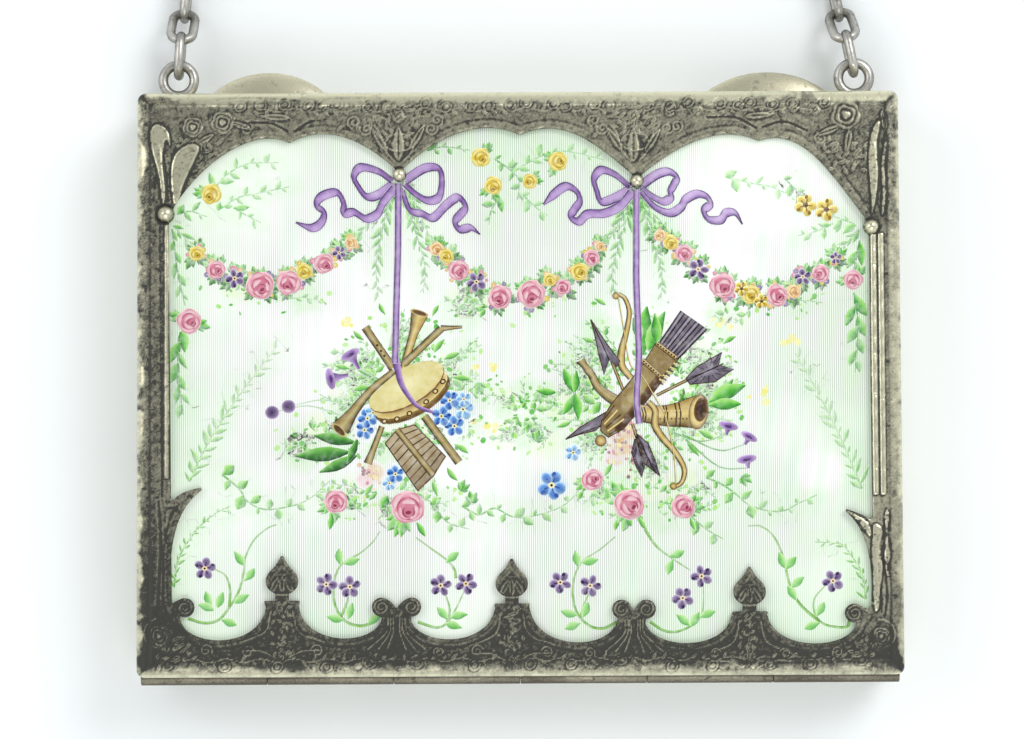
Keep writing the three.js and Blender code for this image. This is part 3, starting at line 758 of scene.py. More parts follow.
@dataclass
class HingedTrays:
    """The two silver trays with their knuckles, the pin and the catch."""

    sizes: CaseSizes = SIZES
    knuckles: int = 6
    knuckle_radius: float = 0.9
    knuckle_round: float = 0.1
    knuckle_gap: float = 0.05
    relief: float = 0.25
    bore_radius: float = 0.48
    pin_radius: float = 0.4
    pin_round: float = 0.15
    post_hole_radius: float = 0.6
    room_corner: float = 0.5
    tab_half_width: float = 2.55
    tab_half_depth: float = 0.5
    edge_softness: float = 0.06
    over_cut: float = 1.0
    # Least and extra painted shade on the knuckles.
    hinge_painted_shade: Pair = (0.6, 0.4)

    @staticmethod
    def upright(a: Vector, b: Vector) -> bool:
        """Says if an edge runs along Z."""
        return abs(a.z - b.z) > 0.1

    @staticmethod
    def round_end(a: Vector, b: Vector) -> bool:
        """Says if an edge runs round the end of a rod on the hinge's axis."""
        return abs(a.x - b.x) < 0.01

    def hinge_rod(self, name: str, radius: float, left: float, right: float, sides: int = 32) -> Piece:
        """Adds a rod on the hinge's axis between two places along it."""
        s = self.sizes
        return add_rod(name, radius, (left, s.hinge_y, s.hinge_z), (right, s.hinge_y, s.hinge_z), sides)

    def corner_block(self, name: str, low_z: float, high_z: float) -> Piece:
        """Makes a block with the case's rounded corners."""
        s = self.sizes
        block = add_block(name, (-s.side_x, -s.top_y, low_z), (s.side_x, s.top_y, high_z))
        bevel_where(block, self.upright, s.corner, 5)
        return block

    def hollow(self, tray: Piece, low_z: float, high_z: float) -> None:
        """Cuts the room out of a tray, with its thicker wall on the hinge side."""
        s = self.sizes
        low = (-s.side_x + s.wall, -s.top_y + s.hinge_wall, low_z)
        room = add_block("room", low, (s.side_x - s.wall, s.top_y - s.wall, high_z))
        bevel_where(room, self.upright, self.room_corner, 3)
        carve(tray, room)

    def cut_slot(self, tray: Piece, x: float, z: float) -> None:
        """Cuts the slot for a thumb piece's tab through the top wall."""
        s = self.sizes
        low = (x - self.tab_half_width, s.top_y - 2 * s.wall, z - self.tab_half_depth)
        high = (x + self.tab_half_width, s.top_y + s.wall, z + self.tab_half_depth)
        carve(tray, add_block("slot", low, high))

    def add_knuckles(self, tray: Piece, first: int) -> None:
        """Solders on every second knuckle and cuts the tray back round the others.

        Args:
            tray: Tray to work on.
            first: 0 where the leftmost knuckle is this tray's, else 1.
        """
        side_x = self.sizes.side_x
        pitch = 2 * side_x / self.knuckles
        for number in range(self.knuckles):
            low = -side_x + number * pitch
            mine = number % 2 == first
            trim = self.knuckle_gap / 2 if mine else -self.knuckle_gap / 2
            radius = self.knuckle_radius + (0.0 if mine else self.relief)
            barrel = self.hinge_rod("barrel", radius, low + trim, low + pitch - trim)
            if mine:
                bevel_where(barrel, self.round_end, self.knuckle_round, 2)
            carve(tray, barrel, "UNION" if mine else "DIFFERENCE")
        reach = side_x + self.over_cut
        carve(tray, self.hinge_rod("bore", self.bore_radius, -reach, reach))

    def paint_hinge_shade(self, tray: Piece) -> None:
        """Marks painted shade on the knuckles, which lie low and out of the light, darkest at their seam
        and under their curve.
        """
        s = self.sizes
        least, more = self.hinge_painted_shade
        spots = np.array([vert.co for vert in tray.data.vertices]) / MM
        depth = (s.hinge_y - spots[:, 1]) / self.knuckle_radius
        on_hinge = (depth > -0.05) & (np.abs(spots[:, 2] - s.hinge_z) < self.knuckle_radius + s.gap)
        # Painted shade, carried by the same mark as the border's tarnish.
        mark_points(tray, "TarnishAndPaintedShade", np.where(on_hinge, least + more * (1.0 - 2.0 * depth) ** 2, 0.0))

    def finish_tray(self, tray: Piece, first: int, silver: Material, body: Body, node: str) -> None:
        """Adds a tray's knuckles, softens its edges, paints shade on the knuckles and dresses it.

        Args:
            tray: Tray to finish.
            first: 0 where the leftmost knuckle is this tray's, else 1.
            silver: The finish.
            body: Body that it moves with.
            node: Node that it stands for.
        """
        self.add_knuckles(tray, first)
        soften_edges(tray, self.edge_softness)
        self.paint_hinge_shade(tray)
        dress(tray, silver, body, Slot.CASE, node)

    def build(self, silver: Material) -> None:
        """Builds and dresses the trays and the pin, and gives the catch its finish."""
        s, over = self.sizes, self.over_cut
        back = add_block("back_tray", (-s.side_x, -s.top_y, 0.0), (s.side_x, s.top_y, s.back_depth))
        bevel_where(back, lambda a, b: max(a.z, b.z) < 0.1, s.back_round, 5)
        carve(back, self.corner_block("corners", -over, s.back_depth + over), "INTERSECT")
        self.hollow(back, s.back_sheet, s.back_depth + over)
        self.cut_slot(back, THUMBS[1].x, THUMBS[1].z)
        for x in RING_PLACES:
            low, high = (x, s.top_y - 2 * s.wall, RING_Z), (x, s.top_y + s.wall, RING_Z)
            carve(back, add_rod("hole", self.post_hole_radius, low, high))
        self.finish_tray(back, 0, silver, Body.BACK, "back_shell")

        lid = self.corner_block("lid_tray", s.lid_z, s.lid_top_z)
        self.hollow(lid, s.lid_z - over, s.lid_top_z - s.lid_sheet)
        self.cut_slot(lid, THUMBS[0].x, THUMBS[0].z)
        self.finish_tray(lid, 1, silver, Body.LID, "lid_shell")

        reach = s.side_x - self.knuckle_gap
        pin = self.hinge_rod("pin", self.pin_radius, -reach, reach, 20)
        bevel_where(pin, self.round_end, self.pin_round, 3)
        smooth(pin, 50.0)
        dress(pin, silver, Body.BACK, Slot.CASE, "hinge_pin")

        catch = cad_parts["catch_tongue"]
        catch.data.materials.clear()
        catch.data.materials.append(silver)


@dataclass(frozen=True)
class ThumbPiece:
    """Cap of a flattened ball that the thumb pushes, with a tab through the top wall."""

    name: str
    node: str
    body: Body
    x: float
    z: float
    half_width: float
    rise: float
    half_depth: float = 1.15
    tab_half_width: float = 2.4
    tab_half_depth: float = 0.35
    tab_length: float = 1.6
    sink: float = 2.0 / 3.0

    def build(self, silver: Material) -> None:
        """Builds and dresses the thumb piece."""
        foot = SIZES.top_y + SIZES.gap
        share = math.sqrt(1.0 - self.sink ** 2)
        tall = self.rise / (1.0 - self.sink)
        middle = foot - tall * self.sink
        bpy.ops.object.select_all(action="DESELECT")
        bpy.ops.mesh.primitive_uv_sphere_add(
            segments=96, ring_count=48, radius=MM, location=(self.x * MM, middle * MM, self.z * MM),
        )
        bpy.ops.transform.resize(value=(self.half_width / share, tall, self.half_depth / share))
        lens = named(self.name)
        reach = 2.0 * self.half_width
        low = (self.x - reach, middle - reach, self.z - reach)
        carve(lens, add_block("wall", low, (self.x + reach, foot, self.z + reach)))
        low = (self.x - self.tab_half_width, SIZES.top_y - self.tab_length, self.z - self.tab_half_depth)
        high = (self.x + self.tab_half_width, foot + self.rise / 2, self.z + self.tab_half_depth)
        carve(lens, add_block("tab", low, high), "UNION")
        smooth(lens, 40.0)
        dress(lens, silver, self.body, Slot.CASE, self.node)


THUMBS = (
    ThumbPiece("thumb_press_lid", "thumb_piece_lid", Body.LID, x=-27.8, z=8.9, half_width=6.45, rise=2.5),
    ThumbPiece("thumb_press_back", "thumb_piece_back", Body.BACK, x=28.2, z=3.9, half_width=7.8, rise=3.1),
)
RING_PLACES = (-38.3, 38.1)
RING_Z = 4.2


# Rings and chain

@dataclass
class CarryingChain:
    """Two riveted rings and the chain that runs between them on the table."""

    ring_radius: float = 1.75
    ring_wire: float = 0.55
    post_radius: float = 0.45
    post_gap: float = 0.15
    rivet_radius: float = 0.85
    rivet_thickness: float = 0.4
    links: int = 55
    link_half: float = 1.25
    link_end: float = 2.275
    link_wire: float = 0.525
    link_pitch: float = 3.8005
    ring_play: float = 0.13
    lean_left: float = 3.5
    lean_right: float = -11.0
    drop: Pair = (3.8, 8.0)
    floor_gap: float = 0.05
    roll: float = 45.0
    roll_span: Pair = (14.0, 44.0)
    link_steps: int = 36
    wire_sides: int = 12
    plan_steps: int = 1200
    fit_rounds: int = 40

    @property
    def ring_y(self) -> float:
        """Middle of the rings."""
        return SIZES.top_y + self.ring_radius + self.ring_wire + self.post_gap

    @property
    def length(self) -> float:
        """Length from the middle of the first wire to that of the last."""
        return (self.links - 1) * self.link_pitch + 2 * self.link_end

    def build_ring(self, name: str, node: str, x: float, silver: Material) -> None:
        """Builds and dresses one ring with its riveted post."""
        bpy.ops.object.select_all(action="DESELECT")
        bpy.ops.mesh.primitive_torus_add(
            major_segments=56, minor_segments=20, major_radius=self.ring_radius * MM,
            minor_radius=self.ring_wire * MM, location=(x * MM, self.ring_y * MM, RING_Z * MM),
        )
        ring = named(name)
        head_y = SIZES.top_y - SIZES.wall - self.post_gap
        low_y = head_y - self.rivet_thickness
        neck_y = self.ring_y - self.ring_radius
        post = add_rod("post", self.post_radius, (x, low_y, RING_Z), (x, neck_y, RING_Z), 24)
        head = add_rod("head", self.rivet_radius, (x, low_y, RING_Z), (x, head_y, RING_Z), 24)
        bevel_where(head, lambda a, b: a.y < low_y + 0.01 and b.y < low_y + 0.01, 0.2, 3)
        carve(ring, post, "UNION")
        carve(ring, head, "UNION")
        smooth(ring, 40.0)
        dress(ring, silver, Body.BACK, Slot.CHAIN, node)

    def roll_share(self, distance: np.ndarray) -> np.ndarray:
        """Share of the roll at a distance from the nearer ring."""
        return smoothstep(distance, *self.roll_span)

    def run(self, reach: float) -> np.ndarray:
        """Draws the chain's run for one reach of its curve.

        Args:
            reach: Length of the curve's handles.

        Returns:
            Points of the run in space.
        """
        y = self.ring_y + self.ring_radius - self.ring_wire - self.link_wire - self.ring_play
        left, right = (RING_PLACES[0], y), (RING_PLACES[1], y)
        first = np.array(left) + reach * heading(90.0 - self.lean_left)
        second = np.array(right) + reach * heading(90.0 - self.lean_right)
        plan = evenly(bezier(left, first, second, right, self.plan_steps), self.plan_steps + 1)
        walked = np.arange(len(plan)) * np.linalg.norm(plan[1] - plan[0])
        distance = np.minimum(walked, walked[-1] - walked)
        lying = self.link_half * np.cos(np.radians(self.roll * self.roll_share(distance)))
        lying = lying + self.link_wire + self.floor_gap
        height = RING_Z + (lying - RING_Z) * smoothstep(distance, *self.drop)
        return np.column_stack([plan, height])

    def fitted_run(self) -> np.ndarray:
        """Finds the run that is as long as the chain."""
        short, long = self.length / 8, self.length
        for _ in range(self.fit_rounds):
            reach = (short + long) / 2
            path = self.run(reach)
            if path_length(path) < self.length:
                short = reach
            else:
                long = reach
        return evenly(path, 4 * len(path))

    def link_mesh(self) -> tuple[np.ndarray, list[list[int]]]:
        """Makes one oval link that lies in XY, long along Y.

        Returns:
            Its points and faces.
        """
        angle = np.linspace(0.0, 2 * math.pi, self.link_steps, endpoint=False)
        stretch = self.link_end - self.link_half
        ring = np.stack([self.link_half * np.cos(angle), self.link_half * np.sin(angle)], axis=1)
        shift = stretch * np.sign(np.round(np.sin(angle), 6))
        middle = ring + np.stack([np.zeros_like(angle), shift], axis=1)
        outward = ring / self.link_half
        turn = np.linspace(0.0, 2 * math.pi, self.wire_sides, endpoint=False)
        points = []
        for spot, away in zip(middle, outward):
            for a in turn:
                flat = spot + away * self.link_wire * math.cos(a)
                points.append((*flat, self.link_wire * math.sin(a)))
        sides = self.wire_sides
        faces = []
        for i in range(self.link_steps):
            j = (i + 1) % self.link_steps
            for k in range(sides):
                n = (k + 1) % sides
                faces.append([i * sides + k, j * sides + k, j * sides + n, i * sides + n])
        return np.array(points), faces

    def build_chain(self, silver: Material) -> None:
        """Threads all links along the run as one joined mesh, and dresses it."""
        path = self.fitted_run()
        steps = np.concatenate([[0.0], np.cumsum(np.linalg.norm(np.diff(path, axis=0), axis=1))])
        slope = np.gradient(path, axis=0)
        slope /= np.linalg.norm(slope, axis=1)[:, None]
        link, link_faces = self.link_mesh()
        points, faces = [], []
        for number in range(self.links):
            distance = self.link_end + number * self.link_pitch
            spot, along = (
                np.array([np.interp(distance, steps, values[:, k]) for k in range(3)])
                for values in (path, slope)
            )
            along = along / np.linalg.norm(along)
            across = np.cross(along, (0.0, 0.0, 1.0))
            across /= np.linalg.norm(across)
            over = np.cross(across, along)
            share = float(self.roll_share(np.array(min(distance, self.length - distance))))
            roll = math.radians((90.0 if number % 2 == 0 else 0.0) - self.roll * share)
            c, s = math.cos(roll), math.sin(roll)
            x, y, z = link[:, 0] * c + link[:, 2] * s, link[:, 1], -link[:, 0] * s + link[:, 2] * c
            start = number * len(link)
            points.append(spot + np.outer(x, across) + np.outer(y, along) + np.outer(z, over))
            faces.extend([[corner + start for corner in face] for face in link_faces])
        chain = from_arrays("link_chain", np.vstack(points), faces)
        smooth(chain, 60.0)
        dress(chain, silver, Body.BACK, Slot.CHAIN, "chain")

    def build(self, silver: Material) -> None:
        """Builds the rings and the chain."""
        self.build_ring("ring_left", "chain_ring_left", RING_PLACES[0], silver)
        self.build_ring("ring_right", "chain_ring_right", RING_PLACES[1], silver)
        self.build_chain(silver)


# The chased border

@dataclass(frozen=True)
class BorderOutline:
    """The pierced outline of the border: arches, columns, scallops and the ornaments in the opening."""

    arch_lobes: tuple = (
        ((-38.2, 19.7), (-35.0, 24.8), (-29.4, 28.7), (-25.4, 26.75)),
        ((-25.4, 26.75), (-22.4, 28.4), (-18.6, 28.4), (-13.55, 23.7)),
        ((-12.9, 23.7), (-9.65, 27.0), (-4.5, 29.8), (0.15, 27.55)),
        ((0.15, 27.55), (4.9, 29.6), (8.2, 27.0), (12.85, 22.9)),
        ((13.5, 22.9), (17.1, 25.9), (22.0, 29.0), (26.7, 26.8)),
        ((26.7, 26.8), (31.4, 28.4), (34.2, 23.9), (38.45, 18.15)),
    )
    scallops: tuple = (
        ((-37.9, -25.4), -28.3, (-28.0, -24.75)),
        ((-24.4, -24.75), -28.15, (-15.2, -25.85)),
        ((-12.2, -25.85), -28.3, (-2.8, -24.9)),
        ((1.0, -24.9), -28.7, (10.7, -26.2)),
        ((13.55, -26.2), -28.85, (23.25, -25.9)),
        ((27.2, -25.9), -28.95, (37.1, -26.6)),
    )
    scallop_lean: float = 0.07
    column_left: tuple = ((-38.4, -24.0), (-38.8, 17.7))
    column_right: tuple = ((38.85, 16.0), (38.95, -24.5))
    spires: tuple = ((-26.25, -18.8), (-0.95, -19.2), (25.25, -20.2))
    volute_pairs: tuple = ((-13.65, -24.75, 1.65), (12.5, -25.1, 1.35))
    corner_volutes: tuple = ((-36.95, -24.7, -1), (36.8, -25.65, 1))
    volute_radius: float = 1.05
    stem_drop: float = 3.2
    thorns: tuple = (
        (-1, (-38.1, -12.8), (-37.35, -11.75), (-34.6, -11.4), (-39.0, -14.0), (-38.5, -22.5)),
        (1, (38.7, -15.25), (37.0, -14.45), (35.3, -13.95), (39.2, -16.3), (38.7, -24.4)),
    )
    studs: tuple = ((-39.1, 18.8, 0.95), (-13.2, 23.1, 0.75), (13.15, 22.3, 0.75), (39.1, 17.1, 0.85))

    def opening(self) -> np.ndarray:
        """Outlines the opening before the ornaments stand into it."""
        runs = [bezier(*lobe, 14) for lobe in self.arch_lobes]
        runs.append(np.array(self.column_right))
        for left, low, right in reversed(self.scallops):
            bend = (8 * low - left[1] - right[1]) / 6
            lean = self.scallop_lean * (right[0] - left[0])
            runs.append(bezier(right, (right[0] - lean, bend), (left[0] + lean, bend), left, 16))
        runs.append(np.array(self.column_left))
        return np.vstack(runs)

    @staticmethod
    def mirrored(half: np.ndarray, x: float, y: float) -> np.ndarray:
        """Closes the right half of an outline with its mirror image, at a place."""
        whole = np.vstack([half, half[::-1] * (-1.0, 1.0)])
        return whole + (x, y)

    def spire(self, x: float, tip: float) -> np.ndarray:
        """Outlines a spire with its spade head and its stand."""
        half = np.vstack([
            quadratic((0.0, 0.0), (0.4, -1.1), (1.15, -1.8), 8),
            quadratic((1.15, -1.8), (1.78, -2.4), (1.78, -3.05), 8),
            quadratic((1.78, -3.05), (1.78, -4.0), (0.74, -4.4), 8),
            [(0.74, -5.2), (2.02, -5.2), (1.72, -6.0), (2.1, -7.6)],
        ])
        return self.mirrored(half, x, tip)

    def volute_stem(self, x: float, y: float, reach: float) -> np.ndarray:
        """Outlines the stem from which two scrolls part."""
        radius = self.volute_radius
        half = np.vstack([
            quadratic((0.0, -0.35), (0.35, 0.75), (reach, radius), 8),
            quadratic((reach, -radius), (reach - 0.3, -1.7), (reach - 0.1, -self.stem_drop), 6),
        ])
        return self.mirrored(half, x, y)

    def corner_stem(self, x: float, y: float, side: int) -> np.ndarray:
        """Outlines the stem of a scroll in a bottom corner."""
        low = y - self.stem_drop
        return np.vstack([
            quadratic((x, y + self.volute_radius), (x + side * 1.3, y + 0.9), (x + side * 2.6, y - 0.9), 8),
            [(x + side * 2.6, low), (x - side * 1.0, low)],
            quadratic((x - side * 1.0, low), (x + side * 0.7, y - 1.9), (x + side * 0.6, y - 0.8), 6),
        ])

    @staticmethod
    def thorn(side: int, crotch: Pair, brow: Pair, tip: Pair, waist: Pair, foot: Pair) -> np.ndarray:
        """Outlines a thorn that leaves a column."""
        root = side * SIZES.pocket_x
        return np.vstack([
            [(root, crotch[1])],
            quadratic(crotch, brow, tip, 8),
            quadratic(tip, waist, foot, 10),
            [(root, foot[1])],
        ])

    def discs(self) -> list[tuple[float, float, float]]:
        """Lists the round ends of the scrolls and the studs, with their radii."""
        found = [
            (x + side * reach, y, self.volute_radius)
            for x, y, reach in self.volute_pairs for side in (-1, 1)
        ]
        found += [(x, y, self.volute_radius) for x, y, _ in self.corner_volutes]
        return found + list(self.studs)

    def ornaments(self) -> list[np.ndarray]:
        """Lists the outlines that stand into the opening."""
        shapes = [self.spire(*spire) for spire in self.spires]
        shapes += [self.volute_stem(*pair) for pair in self.volute_pairs]
        shapes += [self.corner_stem(*volute) for volute in self.corner_volutes]
        return shapes + [self.thorn(*thorn) for thorn in self.thorns]


class ReliefField:
    """Height, rubbing and tarnish of the border's front over a fine grid."""

    THREAD = (0.2, 0.05, 0.3)
    DOT_REACH = 0.11
    DOT_WINDOW = 0.4
    DOT_DARK = 0.7

    def __init__(self, pitch: float) -> None:
        """Lays out the grid over the whole case."""
        columns = round(2 * SIZES.side_x / pitch) + 1
        rows = round(2 * SIZES.top_y / pitch) + 1
        self.xs = np.linspace(-SIZES.side_x, SIZES.side_x, columns)
        self.ys = np.linspace(-SIZES.top_y, SIZES.top_y, rows)
        self.pitch = self.xs[1] - self.xs[0]
        self.x, self.y = np.meshgrid(self.xs, self.ys)
        self.height = np.zeros_like(self.x)
        self.wear = np.zeros_like(self.x)
        self.tarnish = np.zeros_like(self.x)

    def window(self, x: float, y: float, reach_x: float, reach_y: float) -> tuple[slice, slice]:
        """Gives the rows and columns around a place."""
        left, right = np.searchsorted(self.xs, (x - reach_x, x + reach_x))
        low, high = np.searchsorted(self.ys, (y - reach_y, y + reach_y))
        return slice(low, high), slice(left, right)

    def lift(self, at: tuple[slice, slice], height: np.ndarray, wear: np.ndarray) -> None:
        """Raises a part of the grid at least to a height and to a share of rubbing."""
        self.height[at] = np.maximum(self.height[at], height)
        self.wear[at] = np.maximum(self.wear[at], wear)

    def leaf(self, x: float, y: float, turn: float, length: float, width: float, height: float,
             rub: float = 0.3) -> None:
        """Raises a pointed leaf with a vein.

        Args:
            x: Middle.
            y: Middle.
            turn: Direction of its tip in degrees.
            length: Length.
            width: Greatest width.
            height: Height over the field.
            rub: How brightly its top is rubbed.
        """
        at = self.window(x, y, length * 0.65, length * 0.65)
        c, s = heading(turn)
        dx, dy = self.x[at] - x, self.y[at] - y
        u = (dx * c + dy * s) / (length / 2)
        v = dy * c - dx * s
        half = 0.5 * width * np.clip(1.0 - u * u, 0.0, 1.0) ** 0.8 * (1.0 - 0.3 * u) + 1e-3
        body = np.clip(2.4 * (1.0 - np.abs(v) / half), 0.0, 1.0) * (np.abs(u) < 1.0)
        vein = 0.6 * np.exp(-((v / 0.09) ** 2)) * body
        self.lift(at, height * (body - vein), rub * (body - vein))

    def panel(self, points: Sequence[Pair], height: float, rub: float) -> None:
        """Raises a flat blade with a dark line round it.

        Args:
            points: Points round its outline.
            height: Height over the field.
            rub: How brightly its top is rubbed.
        """
        rim = flowing((*points, points[0]), 4)
        low, high = rim.min(axis=0), rim.max(axis=0)
        at = self.window(*((low + high) / 2), *((high - low) / 2 + 0.5))
        away = outline_distance(self.x[at], self.y[at], rim)
        body = np.clip(-away / 0.2, 0.0, 1.0)
        self.lift(at, height * body, rub * body)
        groove = np.exp(-(((away - 0.02) / 0.08) ** 2)) + 0.6 * np.exp(-(((away + 0.42) / 0.1) ** 2))
        self.tarnish[at] += 0.42 * groove

    def rose(self, x: float, y: float, radius: float, height: float) -> None:
        """Raises a rose of three rings of petals."""
        at = self.window(x, y, radius * 1.2, radius * 1.2)
        dx, dy = self.x[at] - x, self.y[at] - y
        angle, share = np.arctan2(dy, dx), np.hypot(dx, dy) / radius
        petal = np.ones_like(share)
        for size, count, phase in ((1.0, 5, 0.3), (0.68, 4, 1.1), (0.36, 3, 2.0)):
            edge = size * (0.8 + 0.2 * np.abs(np.cos(0.5 * count * (angle + phase))))
            petal = np.minimum(petal, 1.0 - np.exp(-(((share - edge) / max(0.1, 0.13 / radius)) ** 2)))
        dome = np.clip(3.0 * (1.05 - share), 0.0, 1.0) * (1.0 - 0.3 * share)
        self.lift(at, height * dome * (0.45 + 0.55 * petal), 0.5 * petal * dome)

    def line(self, points: Sequence[Pair], width: float, height: float, rub: float = 0.0) -> None:
        """Raises or, with a height below zero, engraves a line.

        Args:
            points: Points that the line flows through.
            width: Width.
            height: Height over the field or depth under it.
            rub: How brightly it is rubbed.
        """
        path = flowing(points)
        low, high = path.min(axis=0) - 3 * width, path.max(axis=0) + 3 * width
        middle, reach = (low + high) / 2, (high - low) / 2
        at = self.window(*middle, *reach)
        profile = np.exp(-((line_distance(self.x[at], self.y[at], path) / (0.5 * width)) ** 2))
        self.height[at] += height * profile
        self.wear[at] = np.maximum(self.wear[at], rub * profile)

    def twin_line(self, foot: Pair, points: Sequence[Pair], width: float, height: float,
                  rub: float) -> None:
        """Raises a line and its mirror image on both sides of a place.

        Args:
            foot: The place.
            points: Points that the line flows through, measured from the place.
            width: Width.
            height: Height over the field.
            rub: How brightly it is rubbed.
        """
        for side in (-1, 1):
            self.line([(foot[0] + side * x, foot[1] + y) for x, y in points], width, height, rub)

    def scroll(self, x: float, y: float, radius: float, turn: float, hand: int, winds: float = 1.4) -> None:
        """Raises a line that curls into a scroll.

        Args:
            x: Middle of the curl.
            y: Middle of the curl.
            radius: Radius where it starts.
            turn: Direction of its start in degrees.
            hand: 1 to curl anticlockwise, else -1.
            winds: Number of turns.
        """
        steps = np.linspace(0.0, 1.0, 14)
        angle = np.radians(turn) + hand * steps * winds * 2 * math.pi
        size = radius * (1.0 - 0.8 * steps)
        curl = np.stack([x + size * np.cos(angle), y + size * np.sin(angle)], axis=1)
        self.line(curl, *self.THREAD)

    def bead(self, x: float, y: float, radius: float, height: float, rub: float) -> None:
        """Raises a round bead."""
        at = self.window(x, y, radius * 1.1, radius * 1.1)
        away = np.hypot(self.x[at] - x, self.y[at] - y)
        dome = np.sqrt(np.clip(1.0 - away ** 2 / radius ** 2, 0.0, 1.0))
        self.lift(at, height * dome, rub * dome)

    def rod(self, x: float, low: float, high: float, radius: float, rub: float) -> None:
        """Raises an upright rod with a slightly rippled top.

        Args:
            x: Its middle.
            low: Y of its lower end.
            high: Y of its upper end.
            radius: Radius.
            rub: How brightly it is rubbed.
        """
        at = self.window(x, (low + high) / 2, radius * 1.2, (high - low) / 2)
        ripple = 1.0 + 0.12 * np.sin(self.y[at] * 3.1 + x)
        round_top = np.sqrt(np.clip(1.0 - ((self.x[at] - x) / radius) ** 2, 0.0, 1.0))
        self.lift(at, radius * 0.4 * round_top * ripple, rub * round_top)

    def stipple(self, middle: np.ndarray, reach: np.ndarray, count: int, draw: Chance) -> None:
        """Punches dark dots round a place.

        Args:
            middle: The place.
            reach: How far they scatter along X and Y.
            count: Number of dots.
            draw: Source of chance.
        """
        for _ in range(count):
            spot = middle + draw.uniform(-1.0, 1.0, 2) * reach
            at = self.window(*spot, self.DOT_WINDOW, self.DOT_WINDOW)
            away = np.hypot(self.x[at] - spot[0], self.y[at] - spot[1])
            self.tarnish[at] += self.DOT_DARK * np.exp(-((away / self.DOT_REACH) ** 2))

    @staticmethod
    def blurred(values: np.ndarray, reach: int) -> np.ndarray:
        """Averages a grid over squares, twice."""
        for axis in (0, 1, 0, 1):
            pad = [(reach + 1, reach) if k == axis else (0, 0) for k in (0, 1)]
            total = np.cumsum(np.pad(values, pad, mode="edge"), axis=axis)
            count = 2 * reach + 1
            upper = np.take(total, range(count, total.shape[axis]), axis=axis)
            lower = np.take(total, range(0, total.shape[axis] - count), axis=axis)
            values = (upper - lower) / count
        return values


